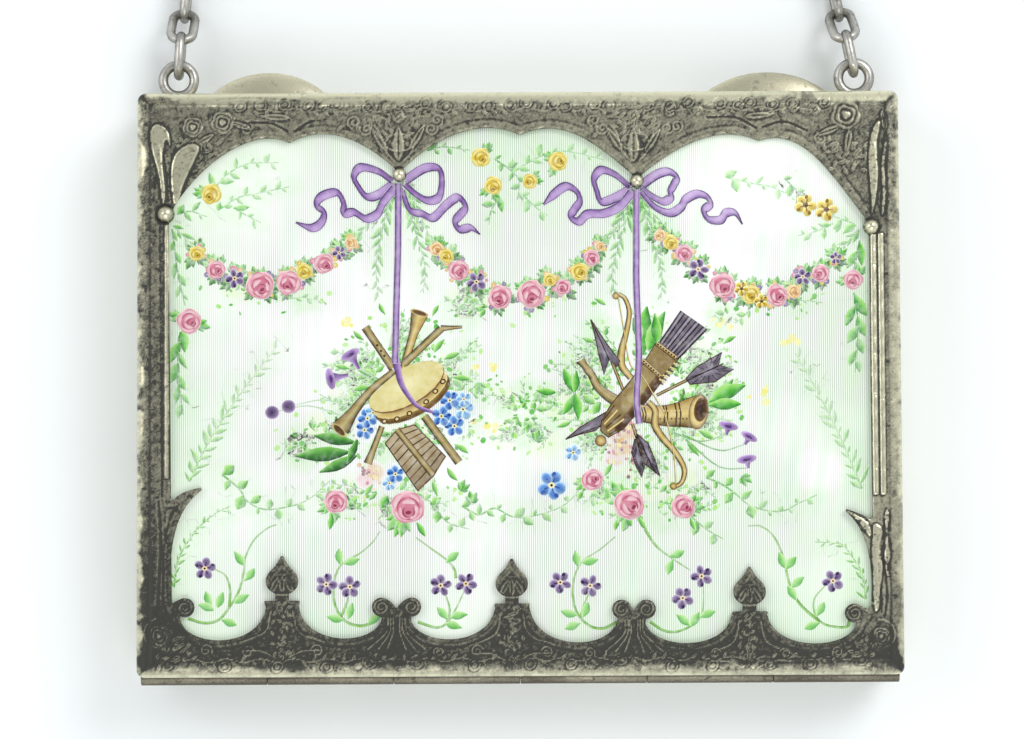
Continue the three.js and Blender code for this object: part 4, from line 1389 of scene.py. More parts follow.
@dataclass
class ChasedBorder:
    """The pierced silver border with its chased front, as one closed mesh."""

    outline: BorderOutline = BorderOutline()
    pitch: float = 0.14
    bevel_width: float = 1.5
    bevel_drop: float = 0.9
    field_depth: float = 0.1
    bare_top: float = 1.05
    bare_side: float = 0.5
    seed: int = 11
    matting: float = 0.02
    edge_lines: tuple = ((0.015, 0.14, -0.6), (-0.03, 0.12, -0.95))
    engraved_line: Pair = (0.22, -0.09)
    fine_thread: Triple = (0.18, 0.045, 0.25)
    blade_rub: float = 1.9
    blade_dots: int = 70
    stud_rub: float = 1.75
    stand_leaves: int = 46
    pendants: Pair = (-13.25, 12.95)
    corner_curls: tuple = ((-39.8, -27.75, 1), (39.7, -28.2, -1))
    vines: tuple = ((30.35, -29.0, 33.0), (-30.55, -37.0, 37.0))
    vine_gap: float = 1.1
    blossom_rows: tuple = ((30.9, -31.0, 34.0, 2.3), (-31.1, -38.0, 38.0, 5.4))
    thickets: tuple = (
        (-36.0, 26.4, 3.2, 46), (36.6, 25.6, 3.0, 46), (-13.3, 28.6, 4.2, 40), (12.9, 28.4, 4.2, 40),
        (-38.4, -29.2, 2.2, 26), (38.4, -29.4, 2.2, 26),
    )
    roses: tuple = (
        (-36.1, 28.5, 1.3), (-32.8, 29.0, 1.45), (36.4, 29.6, 1.9), (-39.8, -27.75, 1.3),
        (39.7, -28.2, 1.15), (-13.3, 29.6, 0.8), (12.8, 29.6, 0.8), (-17.9, -31.2, 0.5),
        (33.0, 30.2, 0.7), (30.6, 30.4, 0.6), (20.0, 30.2, 0.65), (16.8, 30.0, 0.6),
    )
    leaves: tuple = (
        (-13.3, 26.6, 90.0, 4.0, 1.6), (-15.4, 27.0, 122.0, 3.2, 1.0),
        (-11.2, 27.3, 58.0, 3.2, 1.0), (12.8, 26.4, 90.0, 4.0, 1.6), (10.7, 27.0, 122.0, 3.2, 1.0),
        (14.9, 26.8, 58.0, 3.2, 1.0), (-27.0, 29.6, 176.0, 3.4, 0.9), (26.8, 29.6, 4.0, 3.4, 0.9),
        (-37.0, 25.8, 52.0, 3.6, 1.0), (-34.6, 27.2, 30.0, 2.0, 0.8), (-30.6, 28.6, -20.0, 2.4, 0.8),
        (34.4, 27.8, 200.0, 2.8, 0.9), (36.6, 26.6, 260.0, 3.0, 0.9), (40.6, 29.0, 100.0, 2.4, 0.8),
    )
    blades: tuple = (
        ((-39.5, 19.9), (-40.0, 23.3), (-40.7, 25.9), (-40.9, 28.0), (-40.3, 28.9), (-39.4, 28.7),
         (-38.7, 27.9), (-38.6, 26.4), (-39.1, 27.0), (-39.4, 24.8), (-39.1, 21.8), (-39.2, 20.1)),
        ((-38.3, 19.9), (-38.6, 22.6), (-38.4, 24.8), (-37.6, 26.1), (-36.3, 26.7), (-35.3, 26.2),
         (-36.0, 24.4), (-37.0, 22.2), (-37.7, 20.0)),
        ((39.1, 18.2), (39.0, 21.1), (38.8, 24.8), (39.2, 27.7), (40.0, 29.0), (40.3, 28.5),
         (39.9, 26.3), (40.0, 23.0), (39.7, 20.0)),
        ((40.2, 18.5), (40.3, 21.1), (40.2, 23.7), (40.5, 25.9), (40.8, 27.4), (41.0, 26.2),
         (40.7, 23.7), (40.9, 21.1), (40.5, 18.5)),
        ((38.9, -15.8), (39.5, -15.8), (40.0, -16.6), (39.7, -18.5), (40.0, -20.5), (39.7, -23.0),
         (39.5, -25.2), (38.9, -25.2), (38.8, -21.9), (38.7, -18.5)),
        ((40.4, -14.1), (40.8, -14.9), (40.5, -16.9), (40.9, -19.1), (40.5, -20.7), (40.7, -21.6),
         (40.2, -21.2), (40.1, -19.1), (40.3, -16.9), (40.1, -15.2)),
        ((35.7, -14.1), (37.0, -14.7), (38.4, -15.6), (38.8, -16.9), (38.4, -17.2), (37.3, -15.6),
         (36.4, -14.9)),
    )
    leaf_height: float = 0.11
    rose_height: float = 0.17
    # The right-hand rods are rubbed brighter, partly as a painted reflection of the key light.
    rods: tuple = (
        (-38.95, -10.5, 17.6, 0.3, 0.9), (39.3, -12.6, 16.2, 0.32, 1.9), (40.12, -12.6, 16.4, 0.3, 1.8),
    )
    engraved: tuple = (
        ((-33.8, 31.5), (-30.0, 31.75), (-25.5, 31.55), (-24.4, 31.1)),
        ((-22.0, 31.1), (-21.0, 31.6), (-17.0, 31.7)),
        ((-24.8, 28.0), (-22.6, 29.3), (-20.5, 29.5)),
        ((-29.8, 29.0), (-27.4, 28.9), (-25.6, 28.0)),
        ((26.4, 28.2), (24.0, 29.4), (21.0, 29.4)),
        ((27.2, 28.3), (29.5, 28.9), (32.0, 27.9)),
        ((-39.6, 26.6), (-39.1, 23.4), (-38.9, 20.3)),
        ((40.3, -15.0), (40.0, -19.0), (40.4, -23.5), (40.1, -26.0)),
        ((39.7, -16.5), (39.5, -20.0), (39.8, -25.5)),
        ((-39.8, -13.0), (-39.6, -18.0), (-39.9, -24.0)),
    )
    scrolls: tuple = (
        (-18.2, 29.0, 0.8, 250.0, -1), (-30.2, 28.4, 0.8, 90.0, -1), (-9.0, 29.2, 0.7, 290.0, 1),
        (8.4, 29.1, 0.7, 250.0, -1), (17.6, 28.4, 0.7, 290.0, 1), (33.6, 27.0, 0.7, 120.0, 1),
        (-38.0, 21.8, 0.6, 200.0, 1), (38.9, 26.0, 0.7, 300.0, 1), (-30.0, -29.6, 0.7, 20.0, 1),
        (-22.4, -29.5, 0.7, 160.0, -1), (-4.8, -29.6, 0.7, 20.0, 1), (2.9, -29.8, 0.7, 160.0, -1),
        (21.4, -30.0, 0.6, 20.0, 1), (29.1, -30.0, 0.6, 160.0, -1), (-9.0, -29.7, 0.6, 200.0, -1),
        (7.6, -29.9, 0.6, 340.0, 1), (-34.6, -29.4, 0.7, 340.0, 1), (34.9, -29.9, 0.6, 200.0, -1),
    )

    def distance(self, px: np.ndarray, py: np.ndarray) -> tuple[np.ndarray, np.ndarray]:
        """Measures how far points are outside the metal.

        Args:
            px: X of the points.
            py: Y of the points.

        Returns:
            The distance from the metal, negative in it, and the distance from the case's outline.
        """
        r = SIZES.corner
        qx, qy = np.abs(px) - SIZES.side_x + r, np.abs(py) - SIZES.top_y + r
        outer = np.hypot(np.maximum(qx, 0.0), np.maximum(qy, 0.0)) + np.minimum(np.maximum(qx, qy), 0.0) - r
        inner = -outline_distance(px, py, self.outline.opening())
        for shape in self.outline.ornaments():
            low, high = shape.min(axis=0) - 3.0, shape.max(axis=0) + 3.0
            near = (px > low[0]) & (px < high[0]) & (py > low[1]) & (py < high[1])
            if near.any():
                inner[near] = np.minimum(inner[near], outline_distance(px[near], py[near], shape))
        for x, y, radius in self.outline.discs():
            inner = np.minimum(inner, np.hypot(px - x, py - y) - radius)
        return np.maximum(outer, inner), outer

    def chase(self, relief: ReliefField, inside: np.ndarray) -> None:
        """Raises and engraves the front.

        Args:
            relief: The grid to work on.
            inside: Distance from the opening's edge, negative in the metal.
        """
        draw = np.random.default_rng(self.seed)
        relief.height += self.matting * relief.blurred(draw.normal(size=relief.x.shape), 1)
        for depth, width, place in self.edge_lines:
            relief.height += depth * np.exp(-(((inside - place) / width) ** 2))
        for leaf in self.leaves:
            relief.leaf(*leaf, self.leaf_height)
        for blade in self.blades:
            relief.panel(blade, self.leaf_height, self.blade_rub)
        for rose in self.roses:
            relief.rose(*rose, self.rose_height)
        for points in self.engraved:
            relief.line(points, *self.engraved_line)
        for curl in self.scrolls:
            relief.scroll(*curl)
        for rod in self.rods:
            relief.rod(*rod)
        self.chase_pendants(relief)
        self.chase_foot(relief, draw)
        self.chase_vines(relief, draw)
        for x, y, radius in self.outline.studs:
            relief.bead(x, y, radius, radius + self.field_depth, self.stud_rub)
        for blade in self.blades:
            low, high = np.min(blade, axis=0), np.max(blade, axis=0)
            relief.stipple((low + high) / 2, (high - low) * 0.45, self.blade_dots, draw)

    def chase_pendants(self, relief: ReliefField) -> None:
        """Raises the oval medallions and leaf scrolls between the arches."""
        for x in self.pendants:
            relief.line([*ellipse(x, 26.7, 1.0, 1.5, 90.0, 10), (x, 27.7)], *relief.THREAD)
            leaf = ((0.5, 24.6), (1.5, 25.8), (1.9, 27.4), (2.7, 28.6))
            relief.twin_line((x, 0.0), leaf, *relief.THREAD)
            relief.twin_line((x, 0.0), ((0.9, 28.6), (1.6, 29.4), (2.8, 29.6)), *self.fine_thread)
            for side in (-1, 1):
                relief.scroll(x + side * 3.6, 28.2, 0.75, 90.0 - side * 70.0, -side)

    def chase_foot(self, relief: ReliefField, draw: Chance) -> None:
        """Raises the flowers on the stands, the spade heads' petals, the flutes and the scrolls' winds."""
        for x, tip in self.outline.spires:
            for _ in range(self.stand_leaves):
                y = tip - draw.uniform(5.4, 11.4)
                spread = 0.7 + 0.08 * (tip - 5.4 - y)
                relief.leaf(x + draw.normal() * spread * 0.6, y, draw.uniform(0, 360), 0.8, 0.45, 0.07, 0.3)
            for shift, turn in ((-0.75, 62.0), (0.0, 90.0), (0.75, 118.0)):
                relief.leaf(x + shift, tip - 3.4, turn, 1.9, 0.95, 0.07, 0.1)
            relief.line([(x - 0.9, tip - 4.55), (x + 0.9, tip - 4.55)], 0.2, 0.07, 0.2)
            relief.twin_line((x, tip), ((1.2, -6.4), (1.9, -8.6), (4.6, -9.8)), 0.22, 0.05, 0.25)
            relief.twin_line((x, tip), ((0.8, -11.4), (2.4, -10.7), (4.4, -10.7)), 0.2, 0.05, 0.25)
        for x, y, reach in self.outline.volute_pairs:
            for spread in (0.35, 1.0, 1.75):
                waist, foot = 0.2 + spread * 0.55, 0.5 + spread * 1.5
                flute = ((0.25 + spread * 0.4, -1.2), (waist, -2.8), (foot, -4.6))
                relief.twin_line((x, y), flute, *relief.THREAD)
            for side in (-1, 1):
                relief.scroll(x + side * reach, y, 0.85, 90.0, -side, 1.7)
        for x, y, side in self.outline.corner_volutes:
            relief.scroll(x, y, 0.85, 90.0, side, 1.7)
        for x, y, hand in self.corner_curls:
            relief.scroll(x, y, 1.9, 100.0, hand, 1.1)

    def chase_vines(self, relief: ReliefField, draw: Chance) -> None:
        """Raises the leaf vines along the top and bottom and scatters small leaves in the corners."""
        for level, start, end in self.vines:
            xs = np.arange(start, end, self.vine_gap)
            relief.line([(x, level + 0.22 * math.sin(1.7 * x)) for x in xs], 0.16, 0.04, 0.2)
            for x in xs:
                side = 1 if draw.random() < 0.5 else -1
                turn = side * draw.uniform(30.0, 80.0)
                relief.leaf(x, level + side * 0.32, turn, draw.uniform(0.7, 1.1), 0.45, 0.06, 0.3)
        for level, start, end, gap in self.blossom_rows:
            for x in np.arange(start, end, gap):
                spot = np.array((x, level)) + draw.normal(size=2) * (0.5, 0.16)
                for size in (0.42, 0.8):
                    ring = ellipse(*spot, size, size * 0.8, draw.uniform(0.0, 60.0), 7)
                    relief.line([*ring, ring[0]], 0.14, -0.05)
        for x, y, reach, count in self.thickets:
            for _ in range(count):
                spot = np.array((x, y)) + draw.normal(size=2) * reach * (0.5, 0.36)
                relief.leaf(*spot, draw.uniform(0, 360), draw.uniform(0.7, 1.3), 0.5, 0.06, 0.25)

    def tone(self, relief: ReliefField, rim: np.ndarray, field_share: np.ndarray,
             edge: np.ndarray) -> tuple[np.ndarray, np.ndarray]:
        """Works out where the front is rubbed bright and where it is dark.

        Args:
            relief: The chased grid.
            rim: Distance from the case's outline, negative in it.
            field_share: 0 on the bevel and 1 on the field.
            edge: 1 along the edge of the opening.

        Returns:
            How brightly each point is rubbed, and how dark it is from tarnish, less on the right-hand
            column, where a painted reflection lightens it.
        """
        hollow = relief.blurred(relief.height, 1) - relief.height
        slope = np.hypot(*np.gradient(relief.height, relief.pitch))
        draw = np.random.default_rng(self.seed + 1)
        blots = [
            relief.blurred(draw.normal(size=relief.x.shape), reach) * (2 * reach + 1) for reach in (1, 3, 9)
        ]
        grain = draw.normal(size=relief.x.shape)
        # The bevel is rubbed bare from the case's edge inwards, with a ragged end.
        ragged = -rim + 0.14 * blots[0] + 0.14 * blots[1] + 0.16 * blots[2]
        at_side = smoothstep(np.abs(relief.x) / SIZES.side_x - np.abs(relief.y) / SIZES.top_y, -0.02, 0.02)
        bare = self.bare_top + (self.bare_side - self.bare_top) * at_side
        at_foot = smoothstep(-relief.y, 30.4, 31.0) * (1.0 - at_side)
        ragged += 0.5 * at_foot * (-rim - ragged)
        reach = 0.3 + 0.4 * at_foot
        rubbed = 1.0 - smoothstep((ragged - bare) / reach, -1.0, 1.0)
        # The lower part of the field is darker, and the right-hand column is paler, a painted reflection of
        # the key light.
        low = 1.0 - smoothstep(relief.y, -29.0, -8.0)
        painted_sheen_right = smoothstep(relief.x, 34.8, 38.4) * smoothstep(-relief.y, -19.0, -15.0) * (1.0 - rubbed)
        painted_sheen_right *= smoothstep(relief.y, -30.0, -27.0)
        lip_edge = smoothstep(rim + 0.06 * blots[1], -0.75, -0.2)
        bare_wear = (0.76 - 0.24 * at_side) * (1.0 - at_foot) + (0.14 + 0.5 * lip_edge) * at_foot
        wear = np.maximum(0.45 * relief.wear, bare_wear * rubbed)
        wear = np.maximum(wear, 0.1 * edge)
        # Hollows and slopes of the chasing are dark, less so where they are rubbed.
        lines = np.clip(hollow * 14.0, -0.26, 0.42) + np.clip(slope * 0.9 - 0.06, 0.0, 0.42)
        lines *= (0.8 + 0.2 * field_share) * (1.0 - 0.85 * np.clip(relief.wear - 0.5, 0.0, 1.0))
        dark = lines + (0.3 * low + 0.1 * at_side) * (1.0 - 0.6 * rubbed) + relief.tarnish
        dark += (0.08 - 0.03 * low) * blots[0] + (0.09 - 0.03 * low) * grain
        # The painted reflection of the key light lightens the right-hand column.
        dark += (0.015 + 0.05 * at_foot + 0.05 * rubbed) * blots[1] - 0.32 * painted_sheen_right
        # Dark lines lie in the bevel's mitres and where the bevel meets the columns.
        mitre = np.abs(SIZES.side_x - np.abs(relief.x) - SIZES.top_y + np.abs(relief.y))
        dark += 0.35 * np.exp(-((mitre / 0.16) ** 2)) * (1.0 - field_share)
        dark += 0.3 * np.exp(-(((rim + self.bevel_width) / 0.14) ** 2)) * at_side
        return wear, dark

    def build(self, silver: Material) -> None:
        """Builds the border's closed mesh and dresses it."""
        relief = ReliefField(self.pitch)
        away, outer = self.distance(relief.x, relief.y)
        rim = np.maximum(np.abs(relief.x) - SIZES.side_x, np.abs(relief.y) - SIZES.top_y)
        inside = np.where(away > outer + 1e-9, away, -9.0)
        self.chase(relief, inside)
        share = np.clip(1.0 + rim / self.bevel_width, 0.0, 1.0)
        field_share = smoothstep(-rim, self.bevel_width - 0.1, self.bevel_width + 0.25)
        edge = np.exp(-(((inside + 0.2) / 0.16) ** 2))
        lip = np.clip((inside + 0.14) / 0.14, 0.0, 1.3) ** 2
        front = relief.height * (0.4 + 0.6 * field_share) - self.field_depth * field_share
        front = front + 0.04 * edge - 0.1 * lip
        front += SIZES.border_top_z - self.bevel_drop * (1.0 - np.sqrt(1.0 - share * share))
        wear, dark = self.tone(relief, rim, field_share, edge)
        self.assemble(relief, away, outer, front, wear, dark, silver)

    @staticmethod
    def metal_cells(kept: np.ndarray) -> np.ndarray:
        """Finds the grid's metal squares, without spikes and squares that only touch at a corner."""
        cells = kept[:-1, :-1] & kept[1:, :-1] & kept[:-1, 1:] & kept[1:, 1:]
        for _ in range(3):
            beside = np.zeros(cells.shape, dtype=int)
            beside[1:] += cells[:-1]
            beside[:-1] += cells[1:]
            beside[:, 1:] += cells[:, :-1]
            beside[:, :-1] += cells[:, 1:]
            cells &= beside > 1
        for _ in range(8):
            a, b, c, d = cells[:-1, :-1], cells[:-1, 1:], cells[1:, :-1], cells[1:, 1:]
            cells[:-1, :-1] &= ~(a & d & ~b & ~c)
            cells[:-1, 1:] &= ~(b & c & ~a & ~d)
        return cells

    def seat_rim(self, x: np.ndarray, y: np.ndarray, rim: np.ndarray, step: float = 0.01) -> None:
        """Moves the points of the rim onto the border's outline.

        Args:
            x: X of all points, changed in place.
            y: Y of all points, changed in place.
            rim: Numbers of the points on the rim.
            step: Step over which the outline's slope is measured.
        """
        for _ in range(3):
            px, py = x[rim], y[rim]
            here = self.distance(px, py)[0]
            gx = (self.distance(px + step, py)[0] - here) / step
            gy = (self.distance(px, py + step)[0] - here) / step
            norm = np.maximum(gx * gx + gy * gy, 0.25)
            x[rim] -= here * gx / norm
            y[rim] -= here * gy / norm

    def assemble(self, relief: ReliefField, away: np.ndarray, outer: np.ndarray, front: np.ndarray,
                 wear: np.ndarray, dark: np.ndarray, silver: Material) -> None:
        """Turns the grid into a closed mesh: front, walls and back.

        Args:
            relief: The grid.
            away: Distance from the metal.
            outer: Distance from the case's outline.
            front: Height of the front.
            wear: How brightly each point is rubbed.
            dark: How dark each point is from tarnish, less on the right-hand column, where a painted
                reflection lightens it.
            silver: The finish.
        """
        kept = away < 0.5 * relief.pitch
        cells = self.metal_cells(kept)
        used = np.zeros_like(kept)
        for rows in (slice(None, -1), slice(1, None)):
            for columns in (slice(None, -1), slice(1, None)):
                used[rows, columns] |= cells
        number = np.cumsum(used).reshape(used.shape) - 1
        spots = [number[:-1, :-1], number[:-1, 1:], number[1:, 1:], number[1:, :-1]]
        faces = np.stack([spot[cells] for spot in spots], axis=1)
        edges = np.vstack([faces[:, [k, (k + 1) % 4]] for k in range(4)])
        keys = edges[:, 0].astype(np.int64) * used.sum() + edges[:, 1]
        back_keys = edges[:, 1].astype(np.int64) * used.sum() + edges[:, 0]
        free = edges[~np.isin(keys, back_keys)]
        x, y, top = relief.x[used], relief.y[used], front[used]
        rim_points = np.unique(free)
        self.seat_rim(x, y, rim_points)
        at_case = outer[used] > -0.5 * SIZES.corner
        foot_z = SIZES.border_top_z - self.bevel_drop
        top[rim_points] = np.where(at_case[rim_points], foot_z, top[rim_points])
        low = np.where(at_case[rim_points], SIZES.border_z, SIZES.plate_z)
        below = np.full(len(x), -1)
        below[rim_points] = len(x) + np.arange(len(rim_points))
        points = np.vstack([
            np.column_stack([x, y, top]), np.column_stack([x[rim_points], y[rim_points], low]),
        ])
        walls = np.stack([free[:, 1], free[:, 0], below[free[:, 0]], below[free[:, 1]]], axis=1)
        corners, back = self.close_back(points, below[free], at_case[free[:, 0]])
        shell = np.vstack([faces, walls]).tolist() + back
        border = from_arrays("chased_border", np.vstack([points, corners]), shell)
        for key, values, rest in (("Wear", wear[used], 0.15), ("TarnishAndPaintedShade", dark[used], 0.1)):
            tail = np.full(len(rim_points) + len(corners), rest)
            mark_points(border, key, np.concatenate([values, tail]))
        smooth(border, 50.0)
        dress(border, silver, Body.LID, Slot.BORDER, "border_frame")

    @staticmethod
    def close_back(points: np.ndarray, rims: np.ndarray,
                   at_case: np.ndarray) -> tuple[np.ndarray, list[list[int]]]:
        """Closes the back with the pocket that holds the enamel.

        Args:
            points: Points of the mesh, open behind.
            rims: Ends of the edges round the open back.
            at_case: True for edges on the case's outline.

        Returns:
            The pocket's corners and the faces that close the back.
        """
        start = len(points)
        plan = ((-1, -1), (1, -1), (1, 1), (-1, 1))
        corners = np.array([
            (sx * SIZES.pocket_x, sy * SIZES.pocket_y, z)
            for z in (SIZES.plate_z, SIZES.border_z) for sx, sy in plan
        ])
        everything = np.vstack([points, corners])
        turn = [(k, (k + 1) % 4) for k in range(4)]
        faces = [[start + a, start + b, start + 4 + b, start + 4 + a] for a, b in turn]
        for shift, mine in ((0, ~at_case), (4, at_case)):
            pocket = [(start + shift + a, start + shift + b) for a, b in turn]
            rim = [tuple(edge) for edge in rims[mine].tolist()]
            edges = pocket + rim
            spots = sorted({spot for edge in edges for spot in edge})
            place = {spot: number for number, spot in enumerate(spots)}
            flat = [Vector(everything[spot, :2]) for spot in spots]
            local = [(place[a], place[b]) for a, b in edges]
            _, _, triangles, origin, _, _ = delaunay_2d_cdt(flat, local, [], 1, 1e-6)
            names = [spots[source[0]] for source in origin]
            found = [[names[corner] for corner in triangle] for triangle in triangles]
            faces.extend(ChasedBorder.between(found, rim if shift else pocket, edges))
        return corners, faces

    @staticmethod
    def between(triangles: list[list[int]], start: list[tuple[int, int]],
                bars: list[tuple[int, int]]) -> list[list[int]]:
        """Keeps the triangles that can be reached from an outer edge.

        Args:
            triangles: Triangles over the whole area.
            start: Edges where the search starts.
            bars: Edges that the search can't cross.

        Returns:
            The triangles reached, turned to face down.
        """
        closed = {frozenset(edge) for edge in bars}
        sides: dict[frozenset, list[int]] = {}
        for number, triangle in enumerate(triangles):
            for k in range(3):
                sides.setdefault(frozenset((triangle[k], triangle[k - 1])), []).append(number)
        waiting = [number for edge in start for number in sides[frozenset(edge)]]
        reached: set[int] = set()
        while waiting:
            number = waiting.pop()
            if number in reached:
                continue
            reached.add(number)
            triangle = triangles[number]
            for k in range(3):
                side = frozenset((triangle[k], triangle[k - 1]))
                if side not in closed:
                    waiting.extend(sides[side])
        return [triangles[number][::-1] for number in sorted(reached)]


# The enamel and its painting

@dataclass
class EnamelPlaque:
    """The slightly domed enamel plate under the border."""

    half_x: float = 39.95
    half_y: float = 30.15
    edge_z: float = 11.25
    dome: float = 0.12
    thickness: float = 0.65

    def surface(self, x: np.ndarray, y: np.ndarray) -> np.ndarray:
        """Gives the height of the enamel's front."""
        u, v = x / self.half_x, y / self.half_y
        return self.edge_z + self.dome * (1.0 - u * u) * (1.0 - v * v)

    def build(self, enamel: Material) -> None:
        """Builds and dresses the plate."""
        bpy.ops.object.select_all(action="DESELECT")
        bpy.ops.mesh.primitive_grid_add(x_subdivisions=64, y_subdivisions=48, size=2 * MM)
        bpy.ops.transform.resize(value=(self.half_x, self.half_y, 1.0))
        plate = named("enamel_plate")
        flat = np.array([vert.co for vert in plate.data.vertices])
        flat[:, 2] = self.surface(flat[:, 0] / MM, flat[:, 1] / MM) * MM
        plate.data.vertices.foreach_set("co", flat.ravel())
        apply_modifier(plate, "SOLIDIFY", thickness=self.thickness * MM, offset=-1.0)
        smooth(plate, 30.0)
        dress(plate, enamel, Body.LID, Slot.ENAMEL, "enamel_plaque")


PLAQUE = EnamelPlaque()


class Tint(Enum):
    """Enamel colours: deep, body and light, as screen colours."""

    PINK = ((142, 54, 82), (206, 124, 146), (232, 194, 200))
    PEACH = ((170, 98, 48), (220, 174, 112), (238, 218, 176))
    YELLOW = ((140, 104, 22), (208, 180, 62), (236, 224, 136))
    PURPLE = ((60, 42, 84), (122, 102, 142), (180, 164, 196))
    BLUE = ((40, 80, 160), (84, 132, 200), (146, 192, 234))
    SKY = ((96, 146, 206), (148, 190, 226), (198, 224, 240))
    RIBBON = ((84, 58, 114), (144, 110, 172), (190, 164, 210))
    LEAF = ((46, 128, 48), (98, 188, 76), (170, 228, 122))
    PALE_LEAF = ((104, 180, 98), (146, 210, 124), (198, 236, 166))
    DARK_LEAF = ((30, 78, 40), (70, 138, 60), (134, 200, 100))
    FRESH_LEAF = ((78, 150, 66), (128, 200, 100), (190, 234, 148))
    STALK = ((96, 150, 66), (140, 196, 98), (186, 222, 142))
    GOLD = ((92, 68, 28), (172, 142, 78), (224, 204, 136))
    WOOD = ((76, 62, 34), (140, 120, 76), (192, 176, 122))
    PIPE = ((120, 104, 76), (170, 155, 125), (196, 184, 154))
    FEATHER = ((54, 48, 58), (112, 104, 118), (160, 154, 170))
    SKIN = ((182, 162, 92), (220, 210, 146), (238, 232, 182))
    DARK = ((44, 28, 18), (80, 54, 30), (118, 88, 54))

    @property
    def deep(self) -> Triple:
        """The darkest of the three."""
        return self.value[0]

    @property
    def body(self) -> Triple:
        """The middle one."""
        return self.value[1]

    @property
    def light(self) -> Triple:
        """The lightest of the three."""
        return self.value[2]


class Level(float, Enum):
    """Heights over the enamel at which motifs are painted, so that later ones lie on earlier ones."""

    CLOUD = 0.003
    FERN = 0.004
    SPRIG = 0.005
    STEM = 0.008
    SWAG_LEAF = 0.01
    LEAF = 0.012
    STAR_LEAF = 0.014
    ROSE_LEAF = 0.016
    VIOLET = 0.018
    SPOT = 0.018
    FILLER = 0.02
    BELL = 0.02
    BLUE_FLOWER = 0.022
    SINGLE_ROSE = 0.026
    SWAG_FLOWER = 0.03
    PIPES = 0.034
    ARROWS = 0.034
    BOW_BEHIND = 0.036
    HORN_TUBE = 0.04
    QUIVER = 0.048
    FRONT_FLOWER = 0.05
    BAND = 0.05
    DRUM = 0.06
    HORN = 0.062
    BOW_BEFORE = 0.075
    DROP = 0.08


